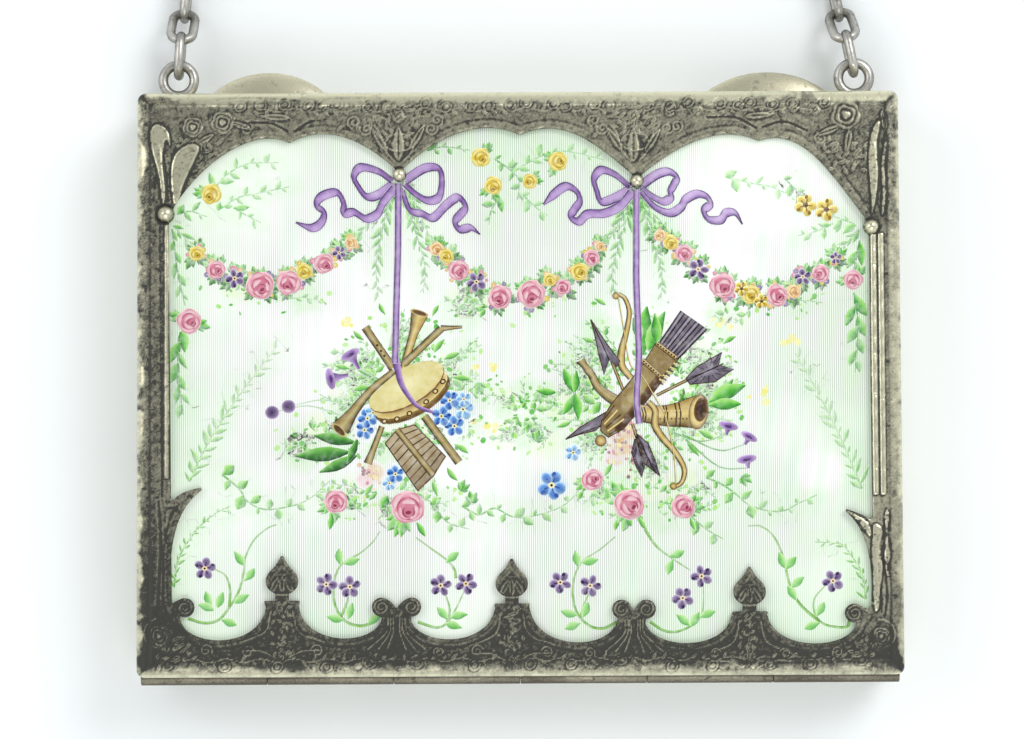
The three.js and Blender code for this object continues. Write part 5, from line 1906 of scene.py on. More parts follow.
@dataclass
class PaintLayer:
    """Thin strokes and dabs of paint that lie in the enamel's surface, as one joined mesh."""

    name: str
    soft: float = 0.045
    rise: float = 0.0006
    level: float = 0.0
    points: list = field(default_factory=list)
    tints: list = field(default_factory=list)
    faces: list = field(default_factory=list)
    count: int = 0

    CRISP_EDGE = 0.012
    EDGE_SINK = 0.002

    def edge(self, soft: float) -> Pair:
        """Gives the width of an edge and how much colour its outside keeps."""
        return (soft, 0.0) if soft > 0.0 else (self.CRISP_EDGE, 1.0)

    @contextmanager
    def crisp(self) -> Iterator[None]:
        """Lets strokes end sharply, for paint that lies on other paint."""
        soft, self.soft = self.soft, 0.0
        yield
        self.soft = soft

    def add(self, flat: np.ndarray, lift: np.ndarray, tint: np.ndarray, faces: list[list[int]]) -> None:
        """Adds points, colours and faces, and lets the next stroke lie on these."""
        self.points.append(np.column_stack([flat, lift + self.level]))
        self.tints.append(tint)
        start = self.count
        self.faces.extend([[corner + start for corner in face] for face in faces])
        self.count += len(flat)
        self.level += self.rise

    def stroke(self, path: Sequence[Pair], width: object, tints: Sequence, alpha: object = 1.0) -> None:
        """Paints a band along a line.

        Args:
            path: Points of the line.
            width: Width, one value or one for each point.
            tints: Colours of the left edge, the middle and the right edge, each one or one for each point.
            alpha: How thickly it covers, one value or one for each point.
        """
        line = np.asarray(path, float)
        count = len(line)
        half = np.maximum(np.broadcast_to(np.asarray(width, float), count) / 2, self.CRISP_EDGE)
        cover = np.broadcast_to(np.asarray(alpha, float), count)
        slope = np.gradient(line, axis=0)
        slope /= np.maximum(np.linalg.norm(slope, axis=1), 1e-9)[:, None]
        soft, rim = self.edge(self.soft)
        ends = np.array([line[0] - slope[0] * soft, line[-1] + slope[-1] * soft])
        line = np.vstack([ends[:1], line, ends[1:]])
        slope = np.vstack([slope[:1], slope, slope[-1:]])
        half = np.concatenate([half[:1], half, half[-1:]])
        cover = np.concatenate([cover[:1] * rim, cover, cover[-1:] * rim])
        left = np.column_stack([-slope[:, 1], slope[:, 0]])
        shifts = np.stack([half + soft, half, 0 * half, -half, -half - soft], axis=1)
        flat = line[:, None, :] + left[:, None, :] * shifts[:, :, None]
        colours = np.ones((count + 2, 5, 4))
        for columns, tint in zip(((0, 1), (2,), (3, 4)), tints):
            value = np.broadcast_to(linear(tint), (count, 3))
            for column in columns:
                colours[:, column, :3] = np.vstack([value[:1], value, value[-1:]])
        colours[:, :, 3] = cover[:, None] * np.array([rim, 1.0, 1.0, 1.0, rim])
        sunk = np.array([1.0, 0.0, 0.0, 0.0, 1.0]) * -self.EDGE_SINK
        lift = np.broadcast_to(sunk, (count + 2, 5))
        starts = [i * 5 + k for i in range(count + 1) for k in range(4)]
        faces = [[start + corner for corner in (0, 1, 6, 5)] for start in starts]
        self.add(flat.reshape(-1, 2), lift.ravel(), colours.reshape(-1, 4), faces)

    def line(self, path: Sequence[Pair], width: object, tint: Triple) -> None:
        """Paints a band in one colour."""
        self.stroke(path, width, (tint,) * 3)

    def dab(self, rim: np.ndarray, rings: Sequence[tuple[float, Triple]], alpha: float = 1.0,
            light: float = 0.0, centre: Optional[Pair] = None, soft: Optional[float] = None) -> None:
        """Paints a closed form whose colour changes from its middle to its rim.

        Args:
            rim: Outline, anticlockwise.
            rings: Share of the way to the rim and colour, from the middle outwards.
            alpha: How thickly it covers.
            light: How much lighter its upper left side is.
            centre: Middle, if it isn't that of the outline.
            soft: Width of its fading edge, if it isn't the layer's own.
        """
        middle = rim.mean(axis=0) if centre is None else np.asarray(centre, float)
        spokes = rim - middle
        count = len(rim)
        outward = spokes / np.maximum(np.linalg.norm(spokes, axis=1), 1e-9)[:, None]
        lit = light * (outward @ np.array([-0.5, 0.866]))
        flat, colours = [middle[None, :]], [[*linear(rings[0][1]), alpha]]
        for share, tint in rings[1:]:
            flat.append(middle + spokes * share)
            shade = np.clip(linear(tint) * (1.0 + lit * share)[:, None], 0.0, 1.0)
            colours.extend(np.column_stack([shade, np.full(count, alpha)]))
        fade, kept = self.edge(self.soft if soft is None else soft)
        flat.append(rim + outward * fade)
        colours.extend(np.column_stack([shade, np.full(count, alpha * kept)]))
        lift = np.zeros(1 + len(rings) * count)
        lift[-count:] = -self.EDGE_SINK
        faces = [[0, 1 + k, 1 + (k + 1) % count] for k in range(count)]
        for ring in range(len(rings) - 1):
            a = 1 + ring * count
            for k in range(count):
                n = (k + 1) % count
                faces.append([a + k, a + count + k, a + count + n, a + n])
        self.add(np.vstack(flat), lift, np.array(colours), faces)

    def fill(self, rim: np.ndarray, tint: Triple, alpha: float = 1.0, soft: Optional[float] = None) -> None:
        """Paints a closed form in one colour."""
        self.dab(rim, ((0.0, tint), (1.0, tint)), alpha, soft=soft)

    def shape(self, points: Sequence[Pair], tint: Tint, edge: float = 0.11,
              centre: Optional[Pair] = None) -> None:
        """Fills an outline with a colour that is light in its middle, and draws its dark edge.

        Args:
            points: Corners, anticlockwise.
            tint: Its colour.
            edge: Width of the edge line.
            centre: Middle that sees every corner, if it isn't that of the corners.
        """
        rim = np.asarray(points, float)
        self.dab(rim, ((0.0, tint.light), (0.55, tint.body), (1.0, tint.body)), light=0.25, centre=centre)
        closed = np.vstack([rim, rim[:1]])
        self.stroke(closed, edge, (Tint.DARK.body, Tint.DARK.deep, Tint.DARK.body))

    def build(self, paint: Material) -> None:
        """Lays the strokes on the enamel's dome, and dresses them."""
        points = np.vstack(self.points)
        points[:, 2] += PLAQUE.surface(points[:, 0], points[:, 1])
        piece = from_arrays(self.name, points, self.faces)
        mark = piece.data.color_attributes.new("Paint", "FLOAT_COLOR", "POINT")
        mark.data.foreach_set("color", np.vstack(self.tints).astype(np.float32).ravel())
        smooth(piece, 60.0)
        dress(piece, paint, Body.LID, Slot.ENAMEL)


@dataclass(frozen=True)
class SprigStyle:
    """How a sprig is painted: its green, its leaves' length, gap, spread and fatness, and its stem."""

    tint: Tint
    leaf: float
    gap: float
    alpha: float
    stem: float
    spread: float
    fat: float
    level: float = Level.SPRIG
    haze: float = 1.2


@dataclass
class Brush:
    """Small motifs that the paintings share."""

    HAZE = (204, 242, 190)
    WASHES = ((214, 242, 160), (176, 234, 152), (176, 234, 152))
    GREENS = (Tint.PALE_LEAF, Tint.LEAF, Tint.FRESH_LEAF)
    SPECKS = (
        Tint.LEAF.body, Tint.FRESH_LEAF.body, Tint.LEAF.light, Tint.PALE_LEAF.light, Tint.FRESH_LEAF.light,
    )
    STEP = 0.001

    layer: PaintLayer
    draw: Chance

    def leaf(self, x: float, y: float, turn: float, length: float, tint: Tint, fat: float = 0.42,
             alpha: float = 1.0) -> None:
        """Paints a leaf from its stalk.

        Args:
            x: Stalk.
            y: Stalk.
            turn: Direction of its tip in degrees.
            length: Length.
            tint: Its green.
            fat: Width as a share of the length.
            alpha: How thickly it covers.
        """
        along, left = heading(turn), heading(turn + 90.0)
        bow = self.draw.uniform(-0.12, 0.12) * length
        start = np.array((x, y))
        path = quadratic(start, start + along * length * 0.5 + left * bow, start + along * length, 5)
        share = np.linspace(0.0, 1.0, 6)
        width = fat * length * np.sin(math.pi * np.clip(share, 0.03, 0.97) ** self.draw.uniform(0.75, 1.25))
        tints = (tint.light, tint.body, tint.deep) if left[1] > 0 else (tint.deep, tint.body, tint.light)
        self.layer.stroke(path, width, tints, alpha)

    def stem(self, points: Sequence[Pair], width: float, tint: Tint, alpha: float = 1.0) -> np.ndarray:
        """Paints a thin stem that fades at its end, and gives its line."""
        path = flowing(points, 5)
        share = np.linspace(1.0, 0.35, len(path))
        cover = alpha * (0.55 + 0.45 * share)
        self.layer.stroke(path, width * share, (tint.body, tint.body, tint.deep), cover)
        return path

    def sprig(self, points: Sequence[Pair], style: SprigStyle) -> None:
        """Paints a stem with leaves on both sides.

        Args:
            points: Points that the stem passes.
            style: How it is painted.
        """
        path = self.stem(points, style.stem, style.tint, style.alpha)
        count = max(3, round(path_length(path) / style.gap))
        spots = evenly(path, count + 1)
        level = self.layer.level
        for number in range(count):
            step = spots[number + 1] - spots[number]
            turn = math.degrees(math.atan2(step[1], step[0]))
            side = 1 if number % 2 == 0 else -1
            far = number / count
            size = style.leaf * self.draw.uniform(0.55, 1.3) * (1.0 - 0.45 * far)
            self.layer.level = level + self.STEP * (number % 8)
            turn += side * self.draw.uniform(0.6, 1.3) * style.spread
            fat = style.fat * self.draw.uniform(0.8, 1.4)
            self.leaf(*spots[number], turn, size, style.tint, fat, style.alpha * (1.0 - 0.35 * far))
        self.layer.level = level

    def rose(self, x: float, y: float, radius: float, tint: Tint, turn: float) -> None:
        """Paints a full rose.

        Args:
            x: Middle.
            y: Middle.
            radius: Radius.
            tint: Its colour.
            turn: Direction that its heart faces in degrees.
        """
        layer, middle = self.layer, np.array((x, y))
        pale, dusky = (tint.light, tint.light, tint.body), (tint.body, tint.deep, tint.body)
        turn += self.draw.uniform(-70.0, 70.0)
        uneven = self.draw.uniform(0.88, 1.06, (14, 1))
        rim = middle + (ellipse(x, y, radius, radius, turn, 14) - middle) * uneven
        layer.dab(rim, ((0.0, tint.body), (0.6, tint.body), (1.0, tint.light)), light=0.2)
        with layer.crisp():
            for size, reach, count, tints in (
                (0.8, 0.38, 4, pale), (0.64, 0.1, 3, dusky), (0.5, 0.34, 3, pale), (0.32, 0.14, 2, dusky),
            ):
                start = self.draw.uniform(0.0, 360.0)
                shift = heading(turn) * radius * (0.8 - size) * 0.62
                width = radius * reach * np.sin(np.linspace(0.25, math.pi - 0.25, 7))
                for petal in range(count):
                    span = self.draw.uniform(0.55, 0.95) * 360.0 / count
                    turns = np.radians(start + petal * 360.0 / count + np.linspace(0.0, span, 7))
                    far = radius * size * self.draw.uniform(0.92, 1.06)
                    arc = np.stack([np.cos(turns), np.sin(turns)], axis=1) * far
                    layer.stroke(arc + middle + shift, width, tints)
            heart = middle + heading(turn) * radius * 0.34
            layer.fill(ellipse(*heart, radius * 0.1, radius * 0.17, turn, 8), tint.deep)

    def blossom(self, x: float, y: float, radius: float, tint: Tint, eye: Tint, fat: float = 0.36) -> None:
        """Paints an open flower with five separate petals and an eye.

        Args:
            x: Middle.
            y: Middle.
            radius: Radius.
            tint: Its colour.
            eye: Colour of its eye.
            fat: Half width of a petal as a share of the radius.
        """
        layer, middle = self.layer, np.array((x, y))
        start = self.draw.uniform(0.0, 72.0)
        for petal in range(5):
            angle = start + petal * 72.0 + self.draw.uniform(-9.0, 9.0)
            spot = middle + heading(angle) * radius * 0.6
            rim = ellipse(*spot, radius * 0.44, radius * fat * self.draw.uniform(0.85, 1.1), angle, 10)
            layer.dab(rim, ((0.0, tint.body), (0.55, tint.body), (1.0, tint.light)), light=0.3)
            with layer.crisp():
                if petal % 3 != 1:
                    tip = middle + heading(angle + 12.0) * radius * 0.78
                    layer.fill(ellipse(*tip, radius * 0.2, radius * 0.15, angle, 7), tint.deep)
                layer.line(np.array([middle, spot]), radius * 0.1, tint.deep)
        with layer.crisp():
            rings = ((0.0, eye.body), (0.5, eye.light), (1.0, eye.light))
            layer.dab(ellipse(x, y, radius * 0.25, radius * 0.22, 0.0, 8), rings)
            layer.fill(ellipse(x, y, radius * 0.1, radius * 0.1, 0.0, 6), Tint.DARK.deep)

    def tuft(self, x: float, y: float, turn: float, length: float, tint: Tint, count: int = 3) -> None:
        """Paints a lobed leaf as some strokes from one stalk.

        Args:
            x: Stalk.
            y: Stalk.
            turn: Direction of its middle lobe in degrees.
            length: Length of its middle lobe.
            tint: Its green.
            count: Number of lobes.
        """
        for number in range(count):
            off = (number - (count - 1) / 2) * 34.0
            self.leaf(x, y, turn + off, length * (1.0 - abs(off) / 130.0), tint, fat=0.5, alpha=0.9)

    def wash(self, x: float, y: float, radius: float, tint: Triple, alpha: float) -> None:
        """Paints a soft patch of thin colour with an uneven edge."""
        rim = ellipse(x, y, radius, radius, self.draw.uniform(0.0, 90.0), 9)
        rim = (x, y) + (rim - (x, y)) * self.draw.uniform(0.5, 1.1, (9, 1))
        self.layer.fill(rim, tint, alpha, soft=radius * 0.7)

    def haze(self, points: Sequence[Pair], radius: float) -> None:
        """Paints thin pale green under a sprig.

        Args:
            points: Points that the sprig passes.
            radius: How far the colour spreads.
        """
        base = self.layer.level
        path = flowing(points, 6)
        for number, spot in enumerate(evenly(path, max(3, int(path_length(path) / radius)))):
            self.layer.level = base - 2 * self.STEP + 0.4 * self.STEP * (number % 4)
            self.wash(*spot, radius * self.draw.uniform(0.9, 1.3), self.HAZE, 0.2)
        self.layer.level = base

    def dots(self, x: float, y: float, spread: Pair, count: int, tints: Sequence[Triple],
             size: Pair) -> None:
        """Paints small dots in a cluster.

        Args:
            x: Middle.
            y: Middle.
            spread: How far the dots scatter along X and Y.
            count: Number of dots.
            tints: Colours that they take in turn.
            size: Smallest and largest radius.
        """
        for number in range(count):
            spot = np.array((x, y)) + self.draw.normal(size=2) * spread
            radius = self.draw.uniform(*size)
            self.layer.fill(ellipse(*spot, radius, radius, 0.0, 6), tints[number % len(tints)], 0.85)

    def spray(self, x: float, y: float, reach: Pair, inner: float, count: int) -> None:
        """Paints thin sprigs that leave an oval all round, with soft green between them.

        Args:
            x: Middle.
            y: Middle.
            reach: Half width and half height of the oval in which the sprigs end.
            inner: Share of it at which they start.
            count: Twice the number of sprigs, and a third of the number of specks.
        """
        layer, draw, centre = self.layer, self.draw, np.array((x, y))
        base = layer.level
        for number in range(count * 3):
            share = draw.uniform(inner * 0.6, 1.0)
            spot = centre + heading(draw.uniform(0.0, 360.0)) * reach * share
            size, turn = draw.uniform(0.12, 0.36), draw.uniform(0.0, 180.0)
            layer.level = base + self.STEP * (number % 6)
            rim = ellipse(*spot, size, size * draw.uniform(0.35, 0.9), turn, 6)
            layer.fill(rim, self.SPECKS[number % 5], draw.uniform(0.95, 1.0))
        for number in range(count // 2):
            turn = draw.uniform(0.0, 360.0)
            start = centre + heading(turn) * reach * draw.uniform(inner * 0.7, inner * 1.15)
            bearing = turn + draw.uniform(-24.0, 24.0)
            end = centre + heading(bearing) * reach * draw.uniform(0.7, 1.0)
            middle = (start + end) / 2 + draw.normal(size=2) * 0.5
            layer.level = base
            radius = draw.uniform(0.9, 2.2)
            self.wash(*middle, radius, self.WASHES[number % 3], draw.uniform(0.2, 0.4))
            layer.level = base + self.STEP
            tint = self.GREENS[int(draw.integers(3))]
            alpha = draw.uniform(0.93, 1.0)
            leaf = draw.uniform(0.7, 1.3)
            style = SprigStyle(tint, leaf, gap=0.66, alpha=alpha, stem=0.09, spread=48.0, fat=0.5)
            self.sprig((start, middle, end), style)
        layer.level = base + 12 * self.STEP

    def bell(self, x: float, y: float, radius: float, turn: float, depth: float,
             stem: Sequence[Pair]) -> None:
        """Paints a bindweed bell on its stem.

        Args:
            x: Middle of its mouth.
            y: Middle of its mouth.
            radius: Half width of its mouth.
            turn: Direction that it faces in degrees.
            depth: Length of its cone.
            stem: Points of its stem, the far end first.
        """
        self.stem(stem, 0.16, Tint.LEAF, 0.9)
        tint, mouth = Tint.RIBBON, np.array((x, y))
        cone = evenly(np.array([mouth - heading(turn) * depth, mouth]), 5)
        width = radius * np.array([0.28, 0.34, 0.5, 0.9, 1.7])
        self.layer.stroke(cone, width, (tint.light, tint.body, tint.deep))
        with self.layer.crisp():
            rings = ((0.0, tint.body), (0.5, tint.body), (1.0, tint.light))
            self.layer.dab(ellipse(x, y, radius * 0.42, radius, turn, 12), rings, light=0.25)
            throat = mouth - heading(turn) * radius * 0.05
            self.layer.fill(ellipse(*throat, radius * 0.14, radius * 0.4, turn, 8), tint.deep)


@dataclass
class Foliage:
    """Sprigs, ferns and trailing stems painted thinly round the other motifs."""

    seed: int = 3
    pale_share: float = 0.4
    ferns: tuple = (
        (((-36.5, -10.8), (-34.3, -6.3), (-31.0, -1.3), (-26.8, 4.2)), 1.69, 0.55, 0.77),
        (((37.8, -11.9), (35.5, -6.3), (32.8, -0.8), (30.6, 3.1)), 1.69, 0.6, 0.7),
        (((-38.2, -22.4), (-37.6, -19.1), (-35.4, -15.8), (-32.7, -13.8), (-31.9, -14.3)), 0.91, 0.5, 1.0),
        (((38.1, -24.1), (37.7, -21.3), (36.4, -19.1), (35.3, -18.0), (32.6, -17.8)), 1.04, 0.55, 0.98),
    )
    column: SprigStyle = SprigStyle(
        Tint.LEAF, leaf=2.3, gap=1.2, alpha=0.95, stem=0.17, spread=26.0, fat=0.38,
    )
    columns: tuple = (
        ((-38.4, 17.2), (-37.9, 13.1), (-37.0, 8.7)),
        ((-37.4, 5.8), (-37.8, 1.5), (-37.2, -3.4)),
        ((37.9, 15.6), (37.4, 13.6), (37.1, 12.2)),
        ((37.2, 9.8), (37.6, 6.0), (37.2, 1.0)),
    )
    arch: SprigStyle = SprigStyle(
        Tint.LEAF, leaf=1.4, gap=0.85, alpha=0.9, stem=0.14, spread=52.0, fat=0.46, haze=1.1,
    )
    arches: tuple = (
        ((-33.8, 21.8), (-32.2, 23.4), (-30.0, 24.5), (-26.6, 24.6)),
        ((-33.4, 19.3), (-31.1, 20.7), (-29.4, 21.1), (-25.4, 21.9)),
        ((-31.6, 19.6), (-30.5, 18.9), (-28.6, 17.9)),
        ((-37.9, 18.9), (-36.4, 19.2), (-34.6, 18.6)),
        ((-10.1, 25.9), (-8.2, 26.3), (-5.4, 25.9)),
        ((-2.6, 24.9), (-0.8, 23.6), (0.1, 22.4), (-0.1, 20.4)),
        ((-0.6, 23.4), (1.3, 24.6), (3.3, 25.5), (5.7, 25.7), (9.4, 24.8)),
        ((-2.1, 20.6), (-3.0, 19.2), (-3.3, 17.6)),
        ((0.4, 21.0), (1.8, 19.6), (3.2, 18.6)),
        ((23.0, 22.8), (26.3, 22.0), (28.0, 21.7), (31.2, 20.3)),
        ((29.6, 22.6), (30.6, 21.6), (31.6, 20.6)),
        ((37.4, 17.4), (35.4, 18.2), (33.4, 18.6)),
        ((35.4, 17.8), (33.4, 16.8), (31.0, 16.2)),
    )
    trail: SprigStyle = SprigStyle(
        Tint.FRESH_LEAF, leaf=1.45, gap=1.1, alpha=0.95, stem=0.17, spread=70.0, fat=0.6, haze=1.4,
    )
    trails: tuple = (
        ((-32.9, -10.0), (-31.0, -11.6), (-30.1, -13.0), (-28.2, -13.9), (-25.5, -13.6), (-23.3, -12.8),
         (-21.0, -10.8)),
        ((-6.4, -13.6), (-4.6, -14.6), (-2.8, -13.9), (-0.6, -14.9), (2.2, -14.6), (5.0, -13.5),
         (6.8, -11.6)),
        ((20.6, -10.6), (22.4, -11.4), (23.8, -12.4), (25.6, -13.8), (28.7, -14.4), (31.0, -13.4),
         (32.8, -12.6)),
        ((18.6, -14.6), (20.4, -16.2), (22.4, -17.4)),
        ((-9.8, -13.4), (-8.0, -15.4), (-5.6, -16.2)),
    )
    hanger: SprigStyle = SprigStyle(
        Tint.LEAF, leaf=1.7, gap=0.6, alpha=0.85, stem=0.15, spread=26.0, fat=0.27, level=Level.FERN,
    )
    hangers: tuple = (
        ((-14.0, 21.8), (-16.2, 18.4), (-18.6, 15.6)),
        ((-13.9, 21.4), (-15.0, 17.6), (-15.8, 13.0), (-15.6, 9.6)),
        ((-12.6, 21.6), (-11.6, 17.4), (-10.4, 13.0), (-10.6, 10.0)),
        ((-12.4, 21.9), (-10.8, 18.4), (-9.4, 15.4)),
        ((12.6, 21.0), (11.2, 17.8), (9.4, 14.8)), ((12.8, 20.8), (11.6, 16.8), (10.4, 12.6), (10.6, 9.8)),
        ((13.6, 20.8), (14.6, 16.6), (15.8, 12.6), (15.8, 9.4)), ((13.8, 21.0), (15.2, 18.2), (16.6, 16.4)),
        ((-38.3, 17.6), (-36.9, 16.2), (-35.9, 14.9)), ((37.8, 16.8), (36.4, 15.4), (35.4, 14.1)),
    )
    clouds: tuple = (
        (-12.3, -1.4, (10.5, 9.6), 0.42, 74), (13.6, -1.6, (11.6, 10.2), 0.45, 84),
        (-28.5, 9.6, (8.2, 1.9), 0.4, 6), (-0.2, 8.6, (9.4, 2.4), 0.4, 8), (26.6, 8.6, (9.0, 2.2), 0.4, 6),
        (-14.6, -12.9, (9.4, 2.6), 0.4, 18), (13.6, -12.9, (9.6, 2.6), 0.4, 18),
        (-22.6, -6.0, (4.6, 3.0), 0.3, 12), (0.4, -3.4, (4.6, 5.0), 0.2, 18),
    )
    pollen: tuple = (
        (-4.0, 1.6, 1.0), (-3.4, -4.6, 1.1), (-19.0, 6.6, 0.9), (26.4, -1.6, 1.3), (30.0, 4.6, 0.9),
        (22.0, 6.4, 0.9),
    )
    pollen_tints: tuple = ((242, 234, 120), (246, 240, 160))

    def build(self, paint: Material) -> None:
        """Paints the foliage."""
        layer = PaintLayer("painted_foliage", soft=0.07)
        brush = Brush(layer, np.random.default_rng(self.seed))
        for points, leaf, gap, alpha in self.ferns:
            fern = SprigStyle(
                Tint.FRESH_LEAF, leaf, gap, alpha, stem=0.16, spread=40.0, fat=0.26,
                level=Level.FERN, haze=1.3,
            )
            self.grow(brush, points, fern)
        for runs, style in (
            (self.columns, self.column), (self.arches, self.arch), (self.trails, self.trail),
            (self.hangers, self.hanger),
        ):
            for points in runs:
                self.grow(brush, points, style)
        self.paint_clouds(brush)
        layer.build(paint)

    def grow(self, brush: Brush, points: Sequence[Pair], style: SprigStyle) -> None:
        """Paints a sprig over its haze, and some of those in the arches in a paler green.

        Args:
            brush: Brush to paint with.
            points: Points that the sprig passes.
            style: How it is painted.
        """
        brush.layer.level = style.level
        brush.haze(points, style.haze)
        if style is self.arch and brush.draw.random() < self.pale_share:
            style = replace(style, tint=Tint.PALE_LEAF)
        brush.sprig(points, style)

    def paint_clouds(self, brush: Brush) -> None:
        """Paints the soft sprigs round the trophies, under the garlands and over the foot."""
        for cloud in self.clouds:
            brush.layer.level = Level.CLOUD
            brush.spray(*cloud)
        for x, y, radius in self.pollen:
            brush.layer.level = Level.CLOUD
            brush.dots(x, y, (0.6 * radius, 0.4 * radius), 5, self.pollen_tints, (0.2, 0.45))


@dataclass
class Garlands:
    """Swags of roses and small flowers, the single roses and the violets at the foot."""

    seed: int = 5
    swags: tuple = (
        ((-35.8, 14.5, 0.8, Tint.YELLOW), (-33.6, 12.7, 1.0, Tint.PINK),
         (-31.5, 11.7, 0.95, Tint.PURPLE), (-28.7, 10.9, 1.5, Tint.PINK),
         (-25.5, 11.2, 1.35, Tint.PINK), (-23.8, 12.5, 0.85, Tint.YELLOW),
         (-21.6, 13.3, 1.1, Tint.PINK), (-19.9, 14.5, 0.7, Tint.PURPLE),
         (-18.6, 15.6, 0.65, Tint.PEACH)),
        ((-9.1, 14.9, 0.75, Tint.PEACH), (-8.0, 14.1, 0.75, Tint.YELLOW), (-6.7, 12.5, 1.15, Tint.PINK),
         (-4.7, 11.2, 1.0, Tint.PURPLE), (-2.1, 9.5, 1.3, Tint.PINK), (1.4, 9.8, 1.5, Tint.PINK),
         (3.4, 11.4, 0.7, Tint.YELLOW), (4.9, 10.6, 0.85, Tint.PINK), (6.7, 12.3, 0.95, Tint.YELLOW),
         (8.1, 13.8, 0.85, Tint.PINK), (9.0, 15.1, 0.55, Tint.PEACH)),
        ((15.7, 16.3, 0.6, Tint.PEACH), (16.9, 15.5, 0.8, Tint.YELLOW), (18.3, 14.3, 0.95, Tint.PINK),
         (19.9, 12.5, 1.05, Tint.PURPLE), (22.6, 10.7, 1.4, Tint.PINK), (25.7, 9.7, 1.05, Tint.YELLOW),
         (28.6, 9.6, 1.2, Tint.PINK), (30.5, 10.0, 0.75, Tint.PEACH), (31.5, 11.6, 0.85, Tint.PURPLE),
         (33.5, 12.0, 0.95, Tint.PINK), (35.2, 13.7, 0.6, Tint.PURPLE)),
    )
    singles: tuple = (
        (-36.6, 7.0, 1.4, Tint.PINK), (37.1, 11.3, 1.1, Tint.PINK), (-34.1, 21.1, 1.15, Tint.YELLOW),
        (-4.2, 25.1, 1.1, Tint.YELLOW), (-2.8, 21.9, 1.05, Tint.YELLOW), (4.4, 24.6, 1.1, Tint.YELLOW),
        (1.3, 22.4, 0.85, Tint.YELLOW), (-20.3, -13.1, 1.3, Tint.PINK), (-12.4, -13.7, 1.9, Tint.PINK),
        (8.0, -10.8, 1.2, Tint.PINK), (12.1, -13.5, 1.7, Tint.PINK), (18.0, -13.8, 1.35, Tint.PINK),
    )
    open_yellow: tuple = ((31.9, 19.6, 1.2), (34.2, 19.1, 1.25), (26.9, 8.9, 0.8), (24.7, 10.3, 0.8))
    violets: tuple = (
        (-34.8, -20.4), (-21.4, -22.2), (-18.8, -22.5), (-8.8, -22.4), (-6.0, -22.2), (4.4, -22.1),
        (7.7, -22.5), (17.9, -23.9), (20.0, -21.5), (34.5, -22.1),
    )
    violet_radius: float = 1.2
    stems: tuple = (
        ((-36.6, -25.9), (-34.8, -26.4), (-33.2, -26.0), (-31.9, -24.4), (-31.0, -22.8), (-30.5, -20.8),
         (-30.3, -19.1), (-29.3, -17.2), (-27.9, -16.0), (-26.9, -15.6)),
        ((-32.1, -24.6), (-32.0, -22.8), (-32.5, -21.2), (-33.7, -20.5)),
        ((-16.1, -26.4), (-17.7, -26.8), (-19.4, -26.2), (-20.4, -24.6), (-20.6, -23.0), (-20.4, -21.3),
         (-19.6, -19.9), (-17.7, -18.8), (-16.3, -17.6), (-15.5, -16.4)),
        ((-19.8, -25.8), (-19.2, -24.4), (-18.9, -23.2)),
        ((-11.3, -26.4), (-9.3, -27.0), (-8.1, -26.5), (-7.2, -25.1), (-6.2, -23.0)),
        ((-8.1, -26.5), (-7.8, -25.0), (-8.4, -23.0)),
        ((-7.1, -21.6), (-7.3, -20.6), (-8.1, -19.6), (-10.0, -18.2), (-11.5, -17.1)),
        ((10.6, -26.5), (9.1, -27.2), (7.6, -26.9), (6.3, -25.6), (5.8, -23.9), (5.8, -22.4),
         (6.2, -20.8), (7.1, -19.6), (8.8, -18.5), (10.5, -17.1)),
        ((6.6, -26.0), (7.0, -24.6), (7.5, -23.4)),
        ((14.3, -26.5), (15.9, -27.5), (17.6, -27.5), (19.4, -26.5), (20.1, -25.2), (20.2, -22.6)),
        ((13.8, -16.3), (14.9, -18.0), (16.3, -19.2), (18.7, -20.8)),
        ((36.3, -26.5), (35.8, -27.2), (33.6, -26.9), (32.5, -25.8), (32.4, -24.1), (33.6, -22.6)),
        ((33.0, -26.6), (30.8, -24.6), (29.7, -22.4), (29.2, -20.2), (28.7, -18.5), (27.8, -16.9),
         (26.5, -16.0), (25.2, -16.0)),
    )
    foot_leaves: tuple = (
        (-34.0, -24.6, 112), (-33.4, -24.7, 70), (-33.8, -25.0, 160), (-30.5, -20.0, 125),
        (-30.5, -21.8, 50), (-31.5, -24.2, 30), (-33.0, -26.0, -20), (-19.8, -20.1, 95),
        (-19.5, -19.9, 15), (-19.6, -26.1, 168), (-19.0, -26.0, 75), (-16.8, -26.5, 30),
        (-8.2, -19.9, 40), (-8.0, -26.2, 130), (-7.6, -25.9, 10), (-8.2, -26.6, -15), (6.4, -20.4, 100),
        (6.8, -19.9, 10), (6.2, -25.7, 165), (6.8, -26.0, 70), (6.6, -26.6, 200), (18.6, -26.9, 140),
        (19.8, -26.0, 20), (18.8, -27.0, 60), (16.9, -19.6, 250), (16.4, -19.3, 20), (32.6, -26.0, 60),
        (33.0, -26.7, 200), (29.2, -20.6, 110), (29.3, -20.8, 50), (29.9, -22.8, 40),
        (30.4, -24.2, 120),
    )
    leaf_rings: tuple = (
        (195.0, 345.0, Tint.DARK_LEAF, 1.35), (25.0, 155.0, Tint.LEAF, 1.15),
        (30.0, 150.0, Tint.PALE_LEAF, 1.2),
    )
    fillers: tuple = (Tint.PINK, Tint.YELLOW, Tint.PURPLE, Tint.PEACH)
    rose_turn: Pair = (-130.0, -50.0)

